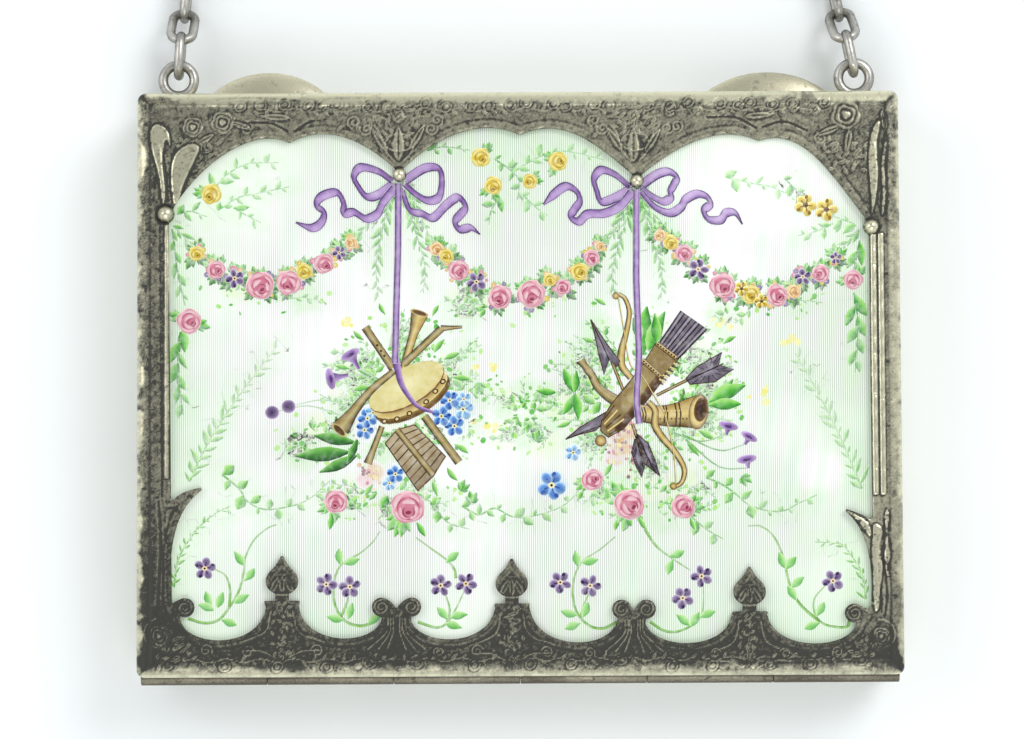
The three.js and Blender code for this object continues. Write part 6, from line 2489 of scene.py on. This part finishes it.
    def build(self, paint: Material) -> None:
        """Paints the flowers."""
        layer = PaintLayer("painted_flowers")
        brush = Brush(layer, np.random.default_rng(self.seed))
        for points in self.stems:
            layer.level = Level.STEM
            brush.stem(points, 0.3, Tint.STALK)
        for number, (x, y, turn) in enumerate(self.foot_leaves):
            layer.level = Level.LEAF + brush.STEP * (number % 3)
            brush.leaf(x, y, turn, 1.8, Tint.PALE_LEAF, 0.5)
        for x, y in self.violets:
            layer.level = Level.VIOLET
            brush.blossom(x, y, self.violet_radius, Tint.PURPLE, Tint.PEACH, 0.37)
        for swag in self.swags:
            self.paint_swag(brush, swag)
        for x, y, radius in self.open_yellow:
            layer.level = Level.FRONT_FLOWER
            brush.blossom(x, y, radius, Tint.YELLOW, Tint.DARK, 0.42)
        for x, y, radius, tint in self.singles:
            layer.level = Level.ROSE_LEAF
            for turn in brush.draw.uniform(120.0, 420.0, 2):
                spot = np.array((x, y)) + heading(turn) * radius * 0.7
                brush.tuft(*spot, turn, radius * 1.1, Tint.LEAF)
            layer.level = Level.SINGLE_ROSE
            brush.rose(x, y, radius, tint, brush.draw.uniform(*self.rose_turn))
        layer.build(paint)

    def paint_swag(self, brush: Brush, swag: Sequence[tuple[float, float, float, Tint]]) -> None:
        """Paints one swag: leaves first, small fillers, then its flowers."""
        layer, draw = brush.layer, brush.draw
        for x, y, radius, _ in swag:
            middle = np.array((x, y))
            for low, high, tint, size in self.leaf_rings:
                layer.level = Level.SWAG_LEAF
                for turn in draw.uniform(low, high, 3):
                    spot = middle + heading(turn) * radius * 0.75
                    bearing = turn + draw.uniform(-25, 25)
                    brush.tuft(*spot, bearing, size * draw.uniform(0.7, 1.1), tint)
            layer.level = Level.FILLER
            for turn in draw.uniform(0.0, 360.0, 4):
                spot = middle + heading(turn) * radius * 1.15
                tint = self.fillers[int(draw.integers(4))]
                size = draw.uniform(0.16, 0.34)
                layer.dab(ellipse(*spot, size, size, 0.0, 7), ((0.0, tint.light), (1.0, tint.body)))
        for number, (x, y, radius, tint) in enumerate(swag):
            layer.level = Level.SWAG_FLOWER + 16 * brush.STEP * (number % 2)
            if tint is Tint.PURPLE:
                brush.blossom(x, y, radius * 1.1, tint, Tint.PEACH)
            else:
                brush.rose(x, y, radius * 1.05, tint, draw.uniform(*self.rose_turn))


@dataclass
class Ribbons:
    """Two bows under the studs, their waving ends and the bands that hold the trophies."""

    width: float = 0.95
    bands: tuple = (
        ((-14.0, 22.5), (-15.6, 23.6), (-17.5, 24.0), (-18.25, 23.0), (-17.8, 21.9), (-16.9, 20.8),
         (-15.7, 20.9), (-13.9, 22.1)),
        ((-13.7, 21.7), (-15.0, 20.1), (-15.7, 18.8), (-16.9, 18.3), (-18.25, 19.0), (-19.4, 18.9),
         (-19.4, 20.0), (-20.15, 21.2), (-21.8, 20.8), (-22.4, 19.8), (-21.6, 19.0), (-21.9, 17.9),
         (-22.9, 17.3), (-24.7, 17.9)),
        ((-12.5, 22.6), (-10.4, 23.9), (-8.8, 23.8), (-8.5, 22.2), (-8.9, 20.6), (-10.1, 20.3),
         (-11.4, 21.0), (-12.6, 22.1)),
        ((-12.9, 21.4), (-12.1, 19.3), (-10.7, 18.8), (-9.45, 18.4), (-8.0, 19.8), (-6.7, 20.6),
         (-5.9, 19.5), (-7.0, 18.0), (-6.6, 17.1), (-5.3, 17.2), (-4.3, 16.5)),
        ((12.4, 21.7), (10.75, 23.1), (9.2, 23.6), (8.4, 22.6), (8.7, 21.3), (9.2, 20.1), (10.7, 20.5),
         (12.5, 21.5)),
        ((12.6, 21.1), (11.3, 19.6), (9.6, 18.8), (7.7, 18.7), (6.7, 17.9), (5.8, 18.4), (6.2, 19.2),
         (6.8, 20.2), (6.5, 21.2), (5.5, 21.8), (4.5, 21.4), (2.8, 19.8)),
        ((13.8, 22.0), (15.4, 23.1), (16.7, 23.4), (17.6, 22.8), (17.3, 22.0), (16.9, 21.2),
         (16.9, 20.5), (16.0, 20.1), (14.5, 20.9), (13.7, 21.7)),
        ((13.6, 21.2), (15.1, 19.5), (16.8, 18.8), (18.0, 19.4), (18.6, 20.3), (19.8, 20.9),
         (20.9, 20.6), (21.3, 19.8), (20.6, 19.0), (21.1, 18.1), (22.4, 18.0), (23.1, 18.8),
         (24.1, 18.7), (24.85, 17.5)),
    )
    drops: tuple = (
        ((-13.35, 22.2), (-13.4, 15.0), (-13.6, 8.0), (-13.75, 2.2)),
        ((13.1, 21.4), (13.05, 14.0), (13.03, 10.9), (13.25, 3.5), (13.15, 0.9), (12.95, -2.05),
         (13.25, -4.6)),
    )
    drop_width: float = 0.66
    drop_edge: float = 0.07

    def build(self, paint: Material) -> None:
        """Paints the ribbons."""
        layer = PaintLayer("painted_ribbons")
        tint = Tint.RIBBON
        for points in self.drops:
            layer.level = Level.DROP
            path = evenly(flowing(points), 24)
            layer.stroke(path, self.drop_width, (tint.body, tint.light, tint.deep))
            with layer.crisp():
                for shift in (-0.3, 0.3):
                    layer.line(path + (shift, 0.0), self.drop_edge, tint.deep)
        for number, points in enumerate(self.bands):
            layer.level = Level.BAND + 0.002 * (number % 4)
            self.paint_band(layer, points, tint)
        layer.build(paint)

    def paint_band(self, layer: PaintLayer, points: Sequence[Pair], tint: Tint) -> None:
        """Paints a waving band, wide and light where it faces up, with dark edges.

        Args:
            layer: Layer to paint on.
            points: Points that it passes; a long band ends in a point.
            tint: Its colour.
        """
        path = evenly(flowing(points, 8), 10 * len(points))
        slope = np.gradient(path, axis=0)
        angle = np.arctan2(slope[:, 1], slope[:, 0])
        turned = 0.5 + 0.5 * np.cos(2.0 * angle - 0.9)
        share = np.linspace(0.0, 1.0, len(path))
        width = self.width * (0.55 + 0.55 * turned)
        if len(points) > 10:
            width *= np.clip((1.02 - share) * 9.0, 0.25, 1.0)
        light, shade = (
            turned[:, None] * np.array(near) + (1.0 - turned)[:, None] * np.array(far)
            for near, far in ((tint.light, tint.body), (tint.body, tint.deep))
        )
        layer.stroke(path, width, (light, light, shade))
        side = np.column_stack([-slope[:, 1], slope[:, 0]]) / np.linalg.norm(slope, axis=1)[:, None]
        with layer.crisp():
            for hand in (-1, 1):
                edge = path + hand * side * (width / 2 - 0.05)[:, None]
                layer.line(edge, 0.03 + 0.1 * (turned if hand < 0 else 1.0 - turned), tint.deep)


@dataclass
class Trophies:
    """The hanging trophies: drum and pipes on the left, quiver, bow and horn on the right."""

    seed: int = 9
    dark_leaves: tuple = (
        (-18.0, -6.6, 170, 4.8), (-18.8, -7.6, 184, 6.0), (-18.0, -8.0, 204, 4.5), (-17.9, -6.1, 247, 3.0),
    )
    broad_leaves: tuple = (
        (6.0, -1.1, 112, 2.8), (6.1, -1.1, 86, 2.4), (6.1, -1.3, 240, 2.6), (6.2, -1.3, 276, 2.9),
        (4.0, -1.1, 174, 2.2), (20.9, -2.4, 44, 3.8), (21.0, -2.2, 24, 4.4), (20.9, -2.6, 2, 3.6),
        (13.6, 3.0, 84, 5.4), (14.3, 3.6, 66, 4.6), (15.2, 4.4, 92, 3.2), (13.4, 4.2, 104, 3.0),
        (-13.2, -15.2, 250, 1.9), (-11.4, -15.4, 300, 1.8), (-20.8, -14.4, 262, 1.8),
    )
    small_leaves: tuple = (
        (-9.4, 3.4, 52, 1.8), (-8.4, 2.6, 22, 1.9), (-7.4, 0.6, -6, 1.9), (-7.2, -6.8, -34, 1.8),
        (-8.0, -9.4, -52, 1.8), (-9.6, -11.0, -72, 1.6), (-16.2, -11.2, 236, 1.6),
        (-17.2, 4.8, 138, 1.5), (-18.8, 1.6, 168, 1.6), (-16.0, 0.8, 160, 2.0), (-16.4, -0.4, 190, 2.0),
        (-14.8, 7.6, 118, 1.4), (-9.6, 7.4, 60, 1.4), (19.8, -5.4, -30, 2.0), (18.6, -6.8, -50, 1.9),
        (10.2, -9.0, 240, 1.6), (8.4, 4.4, 160, 1.5), (7.0, -12.0, 240, 1.4), (11.0, -14.9, 250, 1.6),
        (13.2, -15.0, 300, 1.6), (18.8, -15.0, 290, 1.5), (5.6, -4.4, 200, 1.6), (22.6, 4.2, 30, 1.6),
        (9.6, 8.6, 150, 1.4),
    )
    star_leaves: tuple = (
        (-4.4, 0.0), (-6.65, -11.9), (-5.4, -13.3), (2.3, -1.0), (24.6, -10.4), (1.6, -6.4),
    )
    bells: tuple = (
        (-18.7, 3.2, 1.15, 120.0, 1.9, ((-14.8, -0.2), (-16.0, 0.6), (-17.5, 1.6))),
        (-20.9, 0.5, 1.2, 192.0, 2.0, ((-15.4, -1.0), (-16.8, 0.7), (-18.9, 0.9))),
        (23.1, -4.9, 1.1, 76.0, 1.0, ((17.0, -5.6), (20.0, -6.6), (22.7, -5.9))),
        (25.4, -6.1, 1.0, 60.0, 1.0, ((18.0, -5.8), (22.0, -7.6), (24.8, -7.0))),
        (25.1, -8.6, 1.1, 100.0, 1.0, ((18.4, -6.4), (22.0, -9.4), (25.2, -9.6))),
    )
    knobs: tuple = ((-27.35, -3.2), (-25.55, -2.55))
    blue_flowers: tuple = (
        (-7.7, -1.95, 0.95), (-8.65, -3.7, 1.0), (-7.2, -4.8, 1.0), (-16.8, -3.9, 0.95),
        (-17.15, -5.2, 0.9), (-13.75, -10.1, 0.85), (3.5, -11.4, 1.4),
    )
    pale_flowers: tuple = (
        (-6.25, -2.95, 1.05), (-6.15, -1.85, 0.75), (-16.2, -3.3, 0.8), (-14.4, -11.1, 0.7),
        (5.9, -7.8, 0.8),
    )
    spots: tuple = ((-16.4, -10.2, 0.9, 0.9, 20), (11.5, -5.75, 1.0, 0.8, 24), (10.9, -7.8, 0.95, 1.2, 36))
    spot_tints: tuple = (Tint.PINK.body, Tint.PEACH.body, Tint.PINK.deep, Tint.YELLOW.light)

    def build(self, paint: Material) -> None:
        """Paints both trophies."""
        brush = Brush(PaintLayer("painted_trophies", soft=0.04), np.random.default_rng(self.seed))
        self.paint_flowers(brush)
        with brush.layer.crisp():
            for painter in (
                self.paint_pipes, self.paint_drum, self.paint_arrows, self.paint_quiver, self.paint_horn,
                self.paint_bow,
            ):
                painter(brush.layer)
        brush.layer.build(paint)

    @staticmethod
    def rod(layer: PaintLayer, points: Sequence[Pair], width: Sequence[float], tint: Tint) -> np.ndarray:
        """Paints a round rod or tube with dark edges.

        Args:
            layer: Layer to paint on.
            points: Points that it passes.
            width: Widths along it.
            tint: Its colour.

        Returns:
            Its middle line.
        """
        count = 8 * len(points)
        path = evenly(flowing(points, 6) if len(points) > 2 else np.array(points), count)
        spread = np.interp(np.linspace(0.0, 1.0, count), np.linspace(0.0, 1.0, len(width)), width)
        layer.line(path, spread + 0.13, Tint.DARK.body)
        layer.stroke(path, spread, (tint.body, tint.light, tint.deep))
        return path

    @staticmethod
    def oval(layer: PaintLayer, x: float, y: float, rx: float, ry: float, turn: float,
             tints: Sequence[Triple]) -> None:
        """Paints an oval whose colour runs through three shades from its middle."""
        layer.dab(ellipse(x, y, rx, ry, turn, 20), tuple(zip((0.0, 0.7, 1.0), tints)))

    @staticmethod
    def hatch(layer: PaintLayer, first: Sequence[Pair], second: Sequence[Pair], count: int, width: float,
              tints: Sequence[Triple]) -> None:
        """Paints strokes from one straight edge to another.

        Args:
            layer: Layer to paint on.
            first: Ends of the edge where they start.
            second: Ends of the edge where they end.
            count: Number of strokes.
            width: Width of a stroke.
            tints: Colours that they take in turn.
        """
        starts, ends = evenly(np.array(first), count), evenly(np.array(second), count)
        for number, (a, b) in enumerate(zip(starts, ends)):
            layer.line(np.array([a, (a + b) / 2, b]), width, tints[number % len(tints)])

    def paint_flowers(self, brush: Brush) -> None:
        """Paints leaves, bells, blue flowers and spotted clusters behind the trophies."""
        layer = brush.layer
        for leaves, tint, fat in (
            (self.small_leaves, Tint.FRESH_LEAF, 0.34), (self.broad_leaves, Tint.LEAF, 0.36),
            (self.dark_leaves, Tint.DARK_LEAF, 0.27),
        ):
            for number, leaf in enumerate(leaves):
                layer.level = Level.LEAF + 1.2 * brush.STEP * (number % 8)
                brush.leaf(*leaf, tint, fat)
        for x, y in self.star_leaves:
            layer.level = Level.STAR_LEAF
            brush.tuft(x, y, brush.draw.uniform(0.0, 360.0), 1.5, Tint.LEAF, 4)
        for bell in self.bells:
            layer.level = Level.BELL
            brush.bell(*bell)
        for x, y in self.knobs:
            layer.level = Level.BELL
            brush.stem(((x + 7.6, y - 0.4), (x + 4.0, y + 0.7), (x, y)), 0.13, Tint.PALE_LEAF, 0.8)
            self.oval(layer, x, y, 0.75, 0.72, 0.0, Tint.PURPLE.value)
        for x, y, spread_x, spread_y, count in self.spots:
            layer.level = Level.SPOT
            for tint, shift in ((Tint.PINK.light, -0.5), (Tint.PEACH.body, 0.4)):
                brush.wash(x + shift, y + shift, spread_x, tint, 0.6)
            brush.dots(x, y, (spread_x, spread_y), count, self.spot_tints, (0.1, 0.26))
        for flowers, tint, alpha in (
            (self.blue_flowers, Tint.BLUE, 0.3), (self.pale_flowers, Tint.SKY, 0.25),
        ):
            for x, y, radius in flowers:
                layer.level = Level.BLUE_FLOWER
                brush.wash(x, y, radius, Tint.SKY.body, alpha)
                brush.blossom(x, y, radius * 1.12, tint, Tint.SKIN, 0.4)

    def paint_pipes(self, layer: PaintLayer) -> None:
        """Paints the flute, the trumpets, the beaters and the panpipe."""
        layer.level = Level.PIPES
        dark = (Tint.DARK.deep, Tint.DARK.deep, Tint.DARK.body)
        flute = self.rod(layer, ((-17.06, 6.19), (-14.01, 1.66)), (0.75, 0.7, 0.8), Tint.WOOD)
        for share in (0.44, 0.58, 0.7):
            self.oval(layer, *(flute[0] * (1 - share) + flute[-1] * share), 0.13, 0.13, 0.0, dark)
        self.rod(layer, ((-11.04, 7.6), (-12.9, 1.5)), (1.75, 0.85, 0.7, 0.6), Tint.GOLD)
        self.oval(layer, -11.04, 7.77, 1.05, 0.3, -17.6, (Tint.DARK.body, Tint.DARK.light, Tint.GOLD.light))
        self.rod(layer, ((-6.32, 6.19), (-8.63, 6.05)), (0.15, 0.3, 0.55), Tint.WOOD)
        self.rod(layer, ((-8.63, 6.01), (-12.9, 2.0)), (0.7, 0.66, 0.74), Tint.WOOD)
        self.rod(layer, ((-15.22, -4.82), (-16.79, -8.9)), (0.5, 0.5, 0.55, 0.8), Tint.WOOD)
        self.rod(layer, ((-10.51, -3.71), (-6.74, -8.81)), (0.75, 0.75, 0.8), Tint.WOOD)
        left = ((-14.85, -6.68), (-11.26, -11.95))
        bar = ((-13.56, -5.19), (-9.6, -10.19))
        right = ((-11.62, -4.64), (-8.21, -8.16))
        layer.shape((left[0], left[1], (-9.6, -10.38), right[1], right[0], bar[0]), Tint.PIPE)
        for edge in (left, right):
            self.hatch(layer, bar, edge, 9, 0.12, (Tint.DARK.light, Tint.DARK.body))
        self.rod(layer, bar, (0.55, 0.6), Tint.WOOD)

    def paint_drum(self, layer: PaintLayer) -> None:
        """Paints the tambourine and the end of the band that holds it."""
        layer.level = Level.DRUM
        x, y, turn = -12.57, -0.29, 29.0
        gold, band = Tint.GOLD, Tint.RIBBON
        away = heading(turn - 90.0)
        for depth, tints in (
            (1.62, (Tint.DARK.light,) * 3), (1.45, (gold.deep, gold.body, gold.deep)),
            (1.0, (gold.body, gold.body, gold.light)), (0.3, (Tint.DARK.light,) * 3),
            (0.12, (gold.light,) * 3),
        ):
            self.oval(layer, x + away[0] * depth, y + away[1] * depth, 4.6, 1.98, turn, tints)
        self.oval(layer, x, y, 4.5, 1.88, turn, (Tint.SKIN.light, Tint.SKIN.body, Tint.SKIN.body))
        pipe = ((-19.75, -5.01), (-16.7, -1.1), (-13.9, 1.3))
        self.rod(layer, pipe, (1.9, 1.0, 0.75, 0.65, 0.55), Tint.WOOD)
        self.oval(layer, -19.95, -5.2, 0.4, 1.0, 46.0, (Tint.DARK.body, Tint.GOLD.deep, Tint.GOLD.light))
        for spot in (
            (-14.94, -4.23), (-13.56, -3.99), (-12.17, -3.38), (-10.32, -2.1), (-9.3, -0.94), (-8.46, 0.14),
        ):
            self.oval(layer, *spot, 0.34, 0.28, turn, (Tint.DARK.body,) * 3)
            self.oval(layer, *spot, 0.17, 0.15, turn, (gold.light,) * 3)
        end = ((-13.7, 2.7), (-13.45, 1.47), (-13.09, 0.0), (-12.35, -1.31), (-11.24, -2.6), (-9.58, -3.25))
        path = flowing(end, 6)
        layer.stroke(path, np.linspace(0.85, 0.3, len(path)), (band.light, band.body, band.deep))

    def paint_arrows(self, layer: PaintLayer) -> None:
        """Paints the arrows with their heads and feathers."""
        layer.level = Level.ARROWS
        feather, dark = Tint.FEATHER, Tint.DARK.deep
        for shaft in (
            ((10.23, 2.31), (11.5, -0.94)), ((15.19, -1.49), (21.88, 1.84)),
            ((12.49, -4.64), (13.84, -9.08)),
        ):
            self.rod(layer, shaft, (0.2, 0.2), Tint.WOOD)
        for head in (
            ((7.95, 6.94), (8.4, 5.18), (8.85, 2.95), (9.39, 0.82), (9.95, 2.49), (10.78, 1.66),
             (11.15, 2.31), (9.69, 4.25)),
            ((5.09, -6.31), (6.66, -5.75), (8.33, -5.38), (8.98, -4.82), (9.54, -3.34), (6.67, -5.01)),
        ):
            layer.shape(head, feather)
            layer.line(np.array([head[0], head[len(head) // 2]]), 0.12, dark)
        for root, tip, vane in (
            ((18.5, 0.1), (22.6, 2.0),
             ((18.44, 0.36), (18.9, -0.29), (21.68, 0.0), (23.73, 1.38), (22.06, 1.84), (22.45, 3.23),
              (19.66, 1.66))),
            ((12.9, -6.0), (13.7, -9.6),
             ((12.75, -6.31), (12.37, -7.79), (12.82, -9.27), (13.46, -10.56), (13.84, -9.08))),
            ((13.0, -6.0), (14.9, -9.9),
             ((12.94, -5.75), (13.84, -9.08), (15.53, -10.47), (14.95, -8.71), (14.23, -6.86))),
        ):
            layer.shape(vane, feather)
            middle = np.mean(vane, axis=0)
            for corner in evenly(np.array(vane), 14):
                layer.line(np.array([middle * 0.6 + corner * 0.4, corner]), 0.08, feather.deep)
            layer.line(np.array([root, tip]), 0.12, dark)

    def paint_quiver(self, layer: PaintLayer) -> None:
        """Paints the quiver with its bundle of feathered arrows."""
        layer.level = Level.QUIVER
        feather, gold, dark = Tint.FEATHER, Tint.GOLD, Tint.DARK
        foot, top = ((15.61, 4.44), (17.63, 2.58)), ((17.95, 7.86), (20.81, 5.82))
        layer.shape((foot[0], foot[1], top[1], top[0]), feather, 0.05)
        self.hatch(layer, foot, top, 15, 0.14, (feather.deep, feather.light, dark.deep, feather.body))
        case = (
            (8.97, -5.38), (9.8, -6.12), (11.47, -5.19), (12.59, -3.9), (14.08, -2.05), (15.2, -0.56),
            (15.95, 0.55), (17.63, 2.49), (15.05, 4.16), (13.74, 2.03), (12.34, 0.18), (10.2, -2.42),
            (9.07, -4.27),
        )
        layer.shape(case, Tint.WOOD, centre=(12.9, -1.2))
        shade = flowing(((10.6, -5.3), (12.2, -3.7), (13.7, -1.9), (15.5, 0.4)), 5)
        layer.stroke(shade, 0.95, (dark.light, dark.body, dark.body))
        for first, second, count in (
            (((9.2, -4.3), (9.9, -5.8)), ((10.5, -2.6), (11.9, -4.6)), 5),
            (((15.3, 0.1), (17.3, 2.3)), ((15.9, -0.3), (17.8, 2.0)), 11),
        ):
            self.hatch(layer, first, second, count, 0.14, (dark.body, gold.light))
        for start, end in (((13.65, 2.4), (15.67, 0.55)), ((15.24, 4.25), (17.45, 2.58))):
            path = self.rod(layer, (start, end), (0.4, 0.4), gold)
            for spot in path[1::2]:
                self.oval(layer, *spot, 0.09, 0.13, 40.0, (dark.body,) * 3)
        self.oval(layer, 8.97, -6.49, 0.62, 0.62, 0.0, (gold.light, gold.body, gold.deep))

    def paint_horn(self, layer: PaintLayer) -> None:
        """Paints the wound horn across the quiver."""
        layer.level = Level.HORN_TUBE
        gold, dark = Tint.GOLD, Tint.DARK
        tube = ((8.0, 0.8), (8.73, -0.56), (10.02, -1.68), (11.49, -2.42), (13.7, -3.4))
        self.rod(layer, tube, (0.7, 0.85, 1.1, 1.2, 1.6), Tint.WOOD)
        self.rod(layer, ((6.81, 2.4), (8.18, 0.55)), (0.85, 0.6, 0.75, 0.6), Tint.WOOD)
        layer.level = Level.HORN
        self.rod(layer, ((13.3, -3.45), (16.28, -3.75), (19.5, -3.4)), (1.75, 2.0, 2.5, 3.5), gold)
        for x, reach in ((13.6, 0.8), (13.9, 0.8), (16.0, 1.0), (16.3, 1.0), (17.3, 1.25), (17.75, 1.3)):
            ring = np.array([(x - 0.12, -3.6 + reach), (x + 0.1, -3.6), (x - 0.02, -3.6 - reach)])
            layer.line(ring, 0.15, dark.body)
        for x in np.arange(14.3, 19.2, 0.42):
            for y in (-3.2, -4.1):
                self.oval(layer, x, y, 0.09, 0.09, 0.0, (gold.light if y > -4 else dark.light,) * 3)
        self.oval(layer, 19.8, -3.34, 1.07, 1.95, -8.0, (gold.light, gold.light, dark.light))
        self.oval(layer, 20.05, -3.1, 0.74, 1.35, -8.0, (dark.deep, dark.body, dark.light))

    def paint_bow(self, layer: PaintLayer) -> None:
        """Paints the bow, which passes behind the quiver, and its string."""
        gold = Tint.GOLD
        for level, points, width in (
            (Level.BOW_BEHIND,
             ((11.02, 9.81), (11.76, 9.25), (12.21, 7.77), (11.92, 5.73), (11.35, 3.51), (11.34, 1.84),
              (12.34, 0.45)),
             (0.3, 0.4, 0.5, 0.75, 0.55)),
            (Level.BOW_BEFORE,
             ((14.26, -2.23), (14.99, -3.16), (14.98, -4.82), (15.89, -6.31), (17.17, -7.79),
              (18.17, -9.64), (17.88, -11.12), (16.96, -11.68)),
             (0.5, 0.7, 0.6, 0.45, 0.3)),
        ):
            layer.level = level
            self.rod(layer, points, width, gold)
        for x, y in ((10.74, 9.58), (16.96, -11.55)):
            self.oval(layer, x, y, 0.38, 0.38, 0.0, (gold.light, gold.body, gold.deep))
        string = (
            (11.02, 9.44), (11.55, 6.1), (12.26, 2.03), (13.55, 0.73), (15.19, -2.05), (16.1, -3.71),
            (16.99, -7.79), (17.24, -11.31),
        )
        layer.stroke(flowing(string, 5), 0.1, (gold.light, gold.light, gold.deep))


# Stage

@dataclass
class Studio:
    """The pale floor, the soft lights and the camera at the photograph's angle."""

    target: Triple = (-0.807, 1.455, 11.2)
    distance: float = 420.0
    tilt: float = 3.94
    yaw: float = -0.35
    roll: float = -0.253
    lens: float = 133.34
    floor_half: float = 1400.0
    floor_gap: float = 0.02
    floor_tones: tuple = ((0.915, 0.955, 0.97, 1.0), (0.95, 0.985, 0.99, 1.0))
    floor_roughness: float = 0.9
    sky: Quad = (0.97, 0.985, 1.0, 1.0)
    sky_glow: Pair = (1.0, 0.35)

    def build_camera(self) -> None:
        """Places the camera."""
        turn = Matrix.Identity(4)
        for angle, axis in ((self.tilt, "X"), (self.yaw, "Y"), (self.roll, "Z")):
            turn = turn @ Matrix.Rotation(math.radians(angle), 4, axis)
        spot = Vector(self.target) * MM + turn.to_3x3() @ Vector((0.0, 0.0, self.distance * MM))
        data = bpy.data.cameras.new("camera")
        data.sensor_width = 36.0
        data.lens = self.lens
        data.clip_start = 0.01
        camera = bpy.data.objects.new("camera", data)
        camera.matrix_world = Matrix.Translation(spot) @ turn
        bpy.context.scene.collection.objects.link(camera)
        bpy.context.scene.camera = camera

    def build_floor(self) -> None:
        """Lays the white floor."""
        bpy.ops.object.select_all(action="DESELECT")
        place = (0.0, 0.0, -self.floor_gap * MM)
        bpy.ops.mesh.primitive_plane_add(size=2 * self.floor_half * MM, location=place)
        floor = named("floor")
        material, desk, shader = new_material("white_paper")
        place = desk.add("ShaderNodeTexCoord").outputs["Object"]
        tone = desk.mix(desk.noise(place, 30.0, 3.0), *self.floor_tones)
        desk.tree.links.new(tone, shader.inputs["Base Color"])
        shader.inputs["Roughness"].default_value = self.floor_roughness
        floor.data.materials.append(material)

    @staticmethod
    def add_light(name: str, spot: Triple, size: float, power: float,
                  aim: Triple = (0.0, 0.0, 5.0)) -> None:
        """Hangs a soft light.

        Args:
            name: Its name.
            spot: Its place.
            size: Its width.
            power: Its power in watts.
            aim: Where it points.
        """
        data = bpy.data.lights.new(name, "AREA")
        data.shape = "DISK"
        data.size = size * MM
        data.energy = power
        light = bpy.data.objects.new(name, data)
        light.location = Vector(spot) * MM
        light.rotation_euler = (Vector(spot) - Vector(aim)).to_track_quat("Z", "Y").to_euler()
        bpy.context.scene.collection.objects.link(light)

    def build_light(self) -> None:
        """Hangs the lights and sets the surroundings."""
        self.add_light("key", (420.0, 380.0, 620.0), size=420.0, power=2.3)
        self.add_light("fill", (-520.0, 160.0, 560.0), size=500.0, power=0.95)
        self.add_light("front", (40.0, -420.0, 640.0), size=500.0, power=1.5)
        self.add_light("glare", (62.0, 96.0, 470.0), size=60.0, power=0.02, aim=(20.0, 20.0, 11.0))
        self.add_light("glint", (75.0, 8.0, 450.0), size=9.0, power=0.0012, aim=(35.0, -10.0, 11.0))
        world = bpy.data.worlds.new("surroundings")
        bpy.context.scene.world = world
        world.use_nodes = True
        world.node_tree.nodes.clear()
        desk = NodeDesk(world.node_tree)
        ray = desk.add("ShaderNodeTexCoord").outputs["Generated"]
        up = desk.add("ShaderNodeSeparateXYZ", {0: ray}).outputs[2]
        glow = desk.span(up, 0.25, 0.95, *self.sky_glow)
        sky = desk.add("ShaderNodeBackground", {"Color": self.sky, "Strength": glow})
        desk.add("ShaderNodeOutputWorld", {"Surface": sky.outputs[0]})

    def build(self) -> None:
        """Sets the whole stage."""
        for item in [o for o in bpy.context.scene.objects if o.type in {"LIGHT", "CAMERA"}]:
            bpy.data.objects.remove(item, do_unlink=True)
        self.build_camera()
        self.build_floor()
        self.build_light()
        view = bpy.context.scene.view_settings
        view.view_transform = "Standard"
        view.look = "None"


def main() -> None:
    """Builds the purse piece by piece and sets the stage."""
    logging.basicConfig(level=logging.INFO, format="%(name)s %(message)s")
    Studio().build()
    patina = Patina()
    case_silver = CASE_FINISH.material(patina)
    chain_silver = CHAIN_FINISH.material(patina)
    border_silver = BORDER_FINISH.material(patina)
    finish = EnamelFinish()
    ground = finish.ground()
    enamel = finish.material("white_enamel", ground, painted=False)
    paint = finish.material("enamel_paint", ground, painted=True)
    CarryingChain().build(chain_silver)
    HingedTrays().build(case_silver)
    for thumb in THUMBS:
        thumb.build(case_silver)
    PLAQUE.build(enamel)
    ChasedBorder().build(border_silver)
    for painting in (Foliage(), Garlands(), Trophies(), Ribbons()):
        painting.build(paint)


if __name__ == "__main__":
    main()
